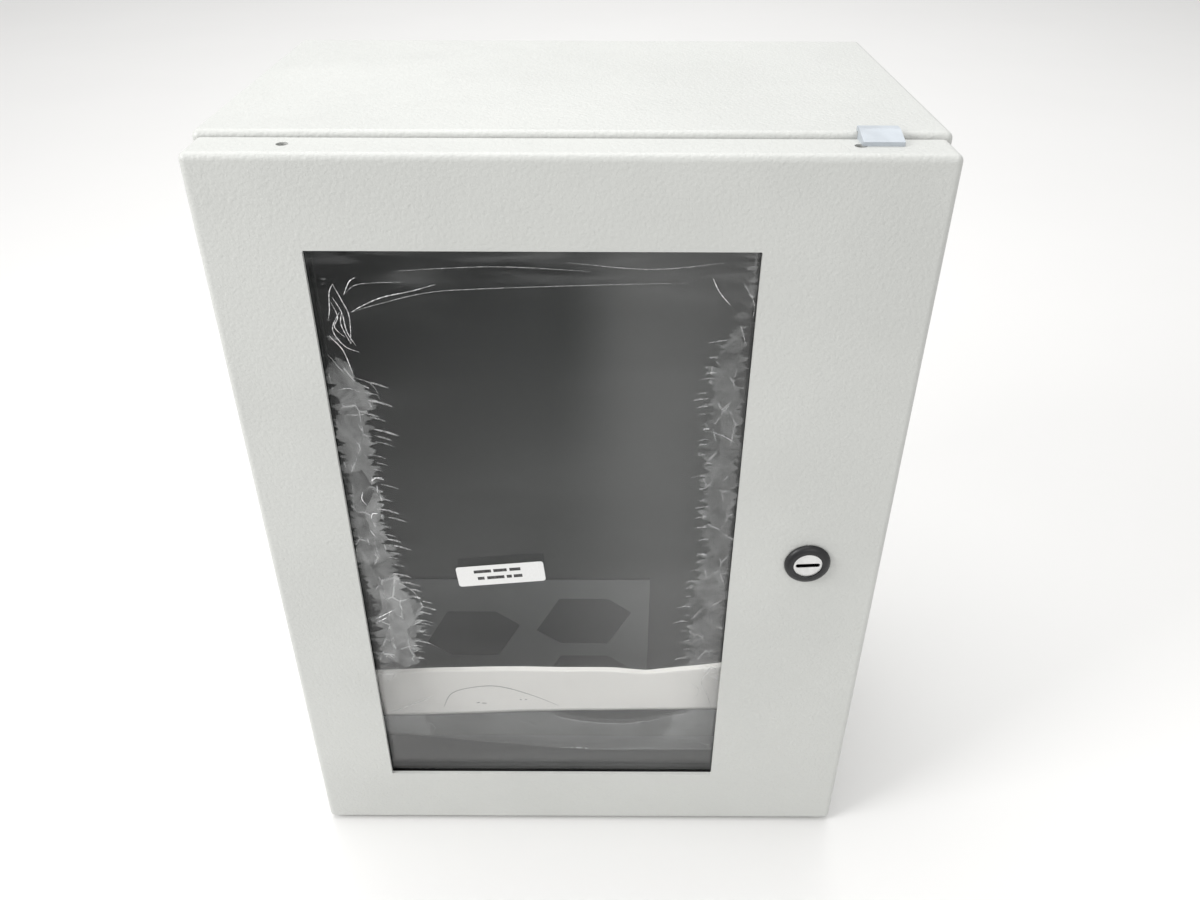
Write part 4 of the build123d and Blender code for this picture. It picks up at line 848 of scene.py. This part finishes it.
RIPPLE_WAVE = 0.45
RIPPLE_UNEVEN = 0.35


def ripple(x, up):
    """How far the paper and the bag swell out of flat: a long wave and a finer unevenness."""
    uneven = noise.noise(Vector((x / 26.0, up / 22.0, 3.0)))
    return RIPPLE_WAVE * math.sin(x / 31.0 + up / 60.0) + RIPPLE_UNEVEN * uneven


def make_leaflet():
    """Sheets of paper, each a step in front of the last and a little lower."""
    columns = np.linspace(*PAPER_SIDES, PAPER_GRID[0])
    rows = np.linspace(0.0, 1.0, PAPER_GRID[1])
    points = []
    faces = []
    for sheet in range(PAPER_SHEETS):
        def place(x, share, sheet=sheet):
            low, high = along(PAPER_BOTTOM, x), along(PAPER_TOP, x) - PAPER_STEP_UP * sheet
            up = low + (high - low) * share
            return in_bag(x, up, PAPER_OUT + PAPER_PITCH * sheet + ripple(x, up))

        mesh = grid_mesh("leaflet", columns, rows, place)
        start = len(points)
        points += [vertex.co.copy() for vertex in mesh.vertices]
        faces += [tuple(start + index for index in polygon.vertices) for polygon in mesh.polygons]
        bpy.data.meshes.remove(mesh)
    mesh = bpy.data.meshes.new("leaflet")
    mesh.from_pydata(points, [], faces)
    mesh.shade_smooth()
    leaflet = piece("leaflet", mesh, "cabinet", ["instruction_sheet"], ["leaflet_paper"])
    thick = leaflet.modifiers.new("paper", "SOLIDIFY")
    thick.thickness = PAPER_THICK * MM


PENCIL_OVAL = ((73, 50), (79.5, 64.5), (95, 70.5), (108, 70.5), (126, 61.5), (141, 51.5))
PENCIL_MARKS = (
    ((92.5, 54.1), (94.5, 54.7)), ((95.5, 53.9), (98.5, 53.7)), ((118, 57.9), (119, 57.1)),
    ((121, 57.7), (122.2, 57.5)),
)
DRAWING_PROUD = 0.2
OVAL_SIZE = (0.5, 0.04)
MARK_SIZE = (0.7, 0.03)


def make_drawing():
    """Plain oval and a few strokes on the front sheet."""
    front = PAPER_OUT + PAPER_PITCH * PAPER_SHEETS - PAPER_PITCH + DRAWING_PROUD

    def place(x, up, lift):
        return in_bag(x, up, front + ripple(x, up) + lift)

    ridges = Ridges(place)
    ridges.add(PENCIL_OVAL, *OVAL_SIZE)
    for line in PENCIL_MARKS:
        ridges.add(line, *MARK_SIZE)
    mesh = ridges.mesh("leaflet_drawing")
    piece("leaflet_drawing", mesh, "cabinet", ["instruction_sheet"], ["pencil_line"])


def bag_thickness(x, up):
    """How far the bag's front stands from its back: least at its sides and foot, most around the paper."""
    sides = min(1.0, (x - BAG_SIDES[0]) / BAG_SIDE_TAPER, (BAG_SIDES[1] - x) / BAG_SIDE_TAPER)
    foot = min(1.0, max(0.0, up - along(BAG_BOTTOM, x)) / BAG_FOOT_TAPER)
    return BAG_THIN + BAG_SWELL * max(0.0, sides) ** 0.5 * foot ** 0.5


def bag_up(x, turn):
    """Height up the bag: its foot where turn is 0, and its top where turn is -1 or 1."""
    low, top = along(BAG_BOTTOM, x), along(PAPER_TOP, x) + BAG_ABOVE_PAPER
    return low + (top - low) * abs(turn)


def bag_place(x, turn):
    """Point on the bag, one sheet folded at its foot: turn is -1 at the back's top and 1 at the front's."""
    up = bag_up(x, turn)
    crumple = BAG_CRUMPLE * noise.noise(Vector((x / 9.0, up / 8.0, 1.0 + 9.0 * (turn > 0))))
    out = BAG_BACK_OUT + ripple(x, up) + crumple
    if turn > 0:
        out += bag_thickness(x, up)
    return in_bag(x, up, out)


def bag_opening(x, up):
    """Distance inside the dark lens below the paper, in millimetres, or outside it if negative."""
    if not OPENING_LOW[0][0] < x < OPENING_LOW[-1][0]:
        return BESIDE_OPENING
    return min(up - along(OPENING_LOW, x), along(PAPER_BOTTOM, x) + OPENING_UNDER_PAPER - up)


def make_bag():
    columns = np.linspace(*BAG_SIDES, BAG_GRID[0])
    turns = np.linspace(-1.0, 1.0, BAG_GRID[1])
    mesh = grid_mesh("document_bag", columns, turns, bag_place)
    veil = []
    opening = []
    bare = []
    for turn in turns:
        for x in columns:
            up = bag_up(x, turn)
            veil.append(max(x - along(VEIL_RIGHT, up), along(VEIL_LEFT, up) - x))
            opening.append(bag_opening(x, up))
            bare.append(along(PAPER_BOTTOM, x) - up)
    give(mesh, "veil", veil)
    give(mesh, "opening", opening)
    give(mesh, "bare", bare)
    piece("document_bag", mesh, "cabinet", ["literature_bag"], ["clear_bag"])


# Each crease of the bag, as (across, up the bag), with how brightly it glints.
BAG_CREASES = (
    (((42, 47), (54, 54), (69, 63)), 0.35), (((60, 38), (63, 33), (61, 26), (64, 20)), 0.3),
    (((62, 37), (66, 30), (63, 24)), 0.25),
    (((34, 22.7), (61, 18.5), (91, 12.6), (135, 5.2), (168, 2), (235, 3.8)), 0.35),
    (((136, 45), (146, 38.6), (162, 35.7), (179, 34.7), (196, 39.2), (213, 46)), 0.35),
    (((110, 40), (122, 34), (130, 26)), 0.15), (((225, 14), (231, 12), (229, 8)), 0.55),
    (((120, 22), (150, 14), (180, 16)), 0.12), (((205, 44), (220, 46), (233, 45)), 0.15),
    (((228, 92), (222, 80), (226, 66), (230, 52)), 0.2), (((216, 78), (221, 70), (218, 58)), 0.15),
)
BAG_CREASE_SIZE = (0.55, 0.2)
BAG_CREASE_PROUD = 0.05


def make_bag_creases():
    def place(x, up, lift):
        low = along(BAG_BOTTOM, x)
        turn = (up - low) / (along(PAPER_TOP, x) + BAG_ABOVE_PAPER - low)
        return bag_place(x, turn) - Vector((0, (lift + BAG_CREASE_PROUD) * MM, 0))

    ridges = Ridges(place)
    for line, glint in BAG_CREASES:
        ridges.add(line, *BAG_CREASE_SIZE, glint=glint)
    piece("bag_creases", ridges.mesh("bag_creases"), "cabinet", ["literature_bag"],
          ["crease_glint"])


make_film()
make_film_creases()
make_label()
make_leaflet()
make_drawing()
make_bag()
make_bag_creases()


# ---- Stage and light: the floor's reach in metres, the distances of its painted shadow in millimetres ----
FLOOR_BACK = 7.0
FLOOR_SIDE = 6.0
FLOOR_FRONT = 3.0
FLOOR_PALE_AHEAD = 65.0
SIDES_MEET = (-40.0, 65.0)
WORLD_STRENGTH = 0.64


def floor_material():
    """Pale floor. For reflected and transmitted rays alone, a painted shadow darkens it ahead of the object
    on the left.
    """
    s = Shader("floor")
    x, y = s.node("SeparateXYZ", {0: s.mm}).outputs[:2]
    seen_to = FACE_Y / MM - FLOOR_PALE_AHEAD
    left = s.math("MULTIPLY", s.ramp(y, 0.42, 1.0, seen_to - 90.0, seen_to),
                  s.ramp(y, 0.15, 1.0, seen_to - 700.0, seen_to - 130.0))
    right = s.ramp(y, 0.80, 1.0, seen_to - 180.0, seen_to - 130.0)
    side = s.ramp(x, 0.0, 1.0, *SIDES_MEET)
    shadowed_left = s.math("MULTIPLY", left, s.math("SUBTRACT", 1.0, side))
    tone = s.math("ADD", s.math("MULTIPLY", right, side), shadowed_left)
    pale = s.blend(s.noise(300.0), (0.775, 0.77, 0.76), (0.795, 0.79, 0.78))
    # Painted shadow: only rays reflected off or passing through a surface see the darker tone; camera rays
    # see the pale floor.
    path = s.node("LightPath").outputs
    mirrored = s.math("MAXIMUM", path["Is Glossy Ray"], path["Is Transmission Ray"])
    tone = s.math("SUBTRACT", 1.0, s.math("MULTIPLY", mirrored, s.math("SUBTRACT", 1.0, tone)))
    s.color(s.blend(tone, (0.0, 0.0, 0.0), pale))
    s.rough(s.ramp(s.noise(40.0), 0.55, 0.65))
    return s.material


def make_floor():
    mesh = bpy.data.meshes.new("floor")
    corners = [(-FLOOR_SIDE, -FLOOR_FRONT), (FLOOR_SIDE, -FLOOR_FRONT), (FLOOR_SIDE, FLOOR_BACK),
               (-FLOOR_SIDE, FLOOR_BACK)]
    mesh.from_pydata([(x, y, 0.0) for x, y in corners], [], [(0, 1, 2, 3)])
    mesh.materials.append(floor_material())
    floor = bpy.data.objects.new("floor", mesh)
    bpy.context.scene.collection.objects.link(floor)


def make_lamp(name, place, aim, size, power, spread=180):
    """Soft square lamp: its size in metres, its power in watts and its spread in degrees."""
    data = bpy.data.lights.new(name, "AREA")
    data.shape = "SQUARE"
    data.size = size
    data.energy = power
    data.spread = math.radians(spread)
    lamp = bpy.data.objects.new(name, data)
    direction = Vector(aim) - Vector(place)
    lamp.matrix_world = Matrix.Translation(place) @ direction.to_track_quat("-Z", "Y").to_matrix().to_4x4()
    bpy.context.scene.collection.objects.link(lamp)


def make_world(strength):
    world = bpy.data.worlds.new("studio")
    world.use_nodes = True
    world.node_tree.nodes["Background"].inputs["Color"].default_value = (1.0, 1.0, 1.0, 1.0)
    world.node_tree.nodes["Background"].inputs["Strength"].default_value = strength
    bpy.context.scene.world = world


make_floor()
make_world(WORLD_STRENGTH)
make_lamp("overhead", place=(-0.3, 0.2, 2.4), aim=(0, 0, 0.2), size=1.8, power=29.0)
make_lamp("back_wash", place=(0.0, 2.4, 2.6), aim=(0, 2.4, 0), size=2.4, power=34.0)
make_lamp("left_fill", place=(-1.0, -0.55, 0.9), aim=(-0.05, -0.1, 0.25), size=0.5, power=4.2, spread=120)
make_lamp("front_fill", place=(0.35, -0.95, 0.6), aim=(-0.08, -0.1, 0.09), size=0.4, power=0.3, spread=75)
bpy.context.scene.view_settings.view_transform = "Standard"
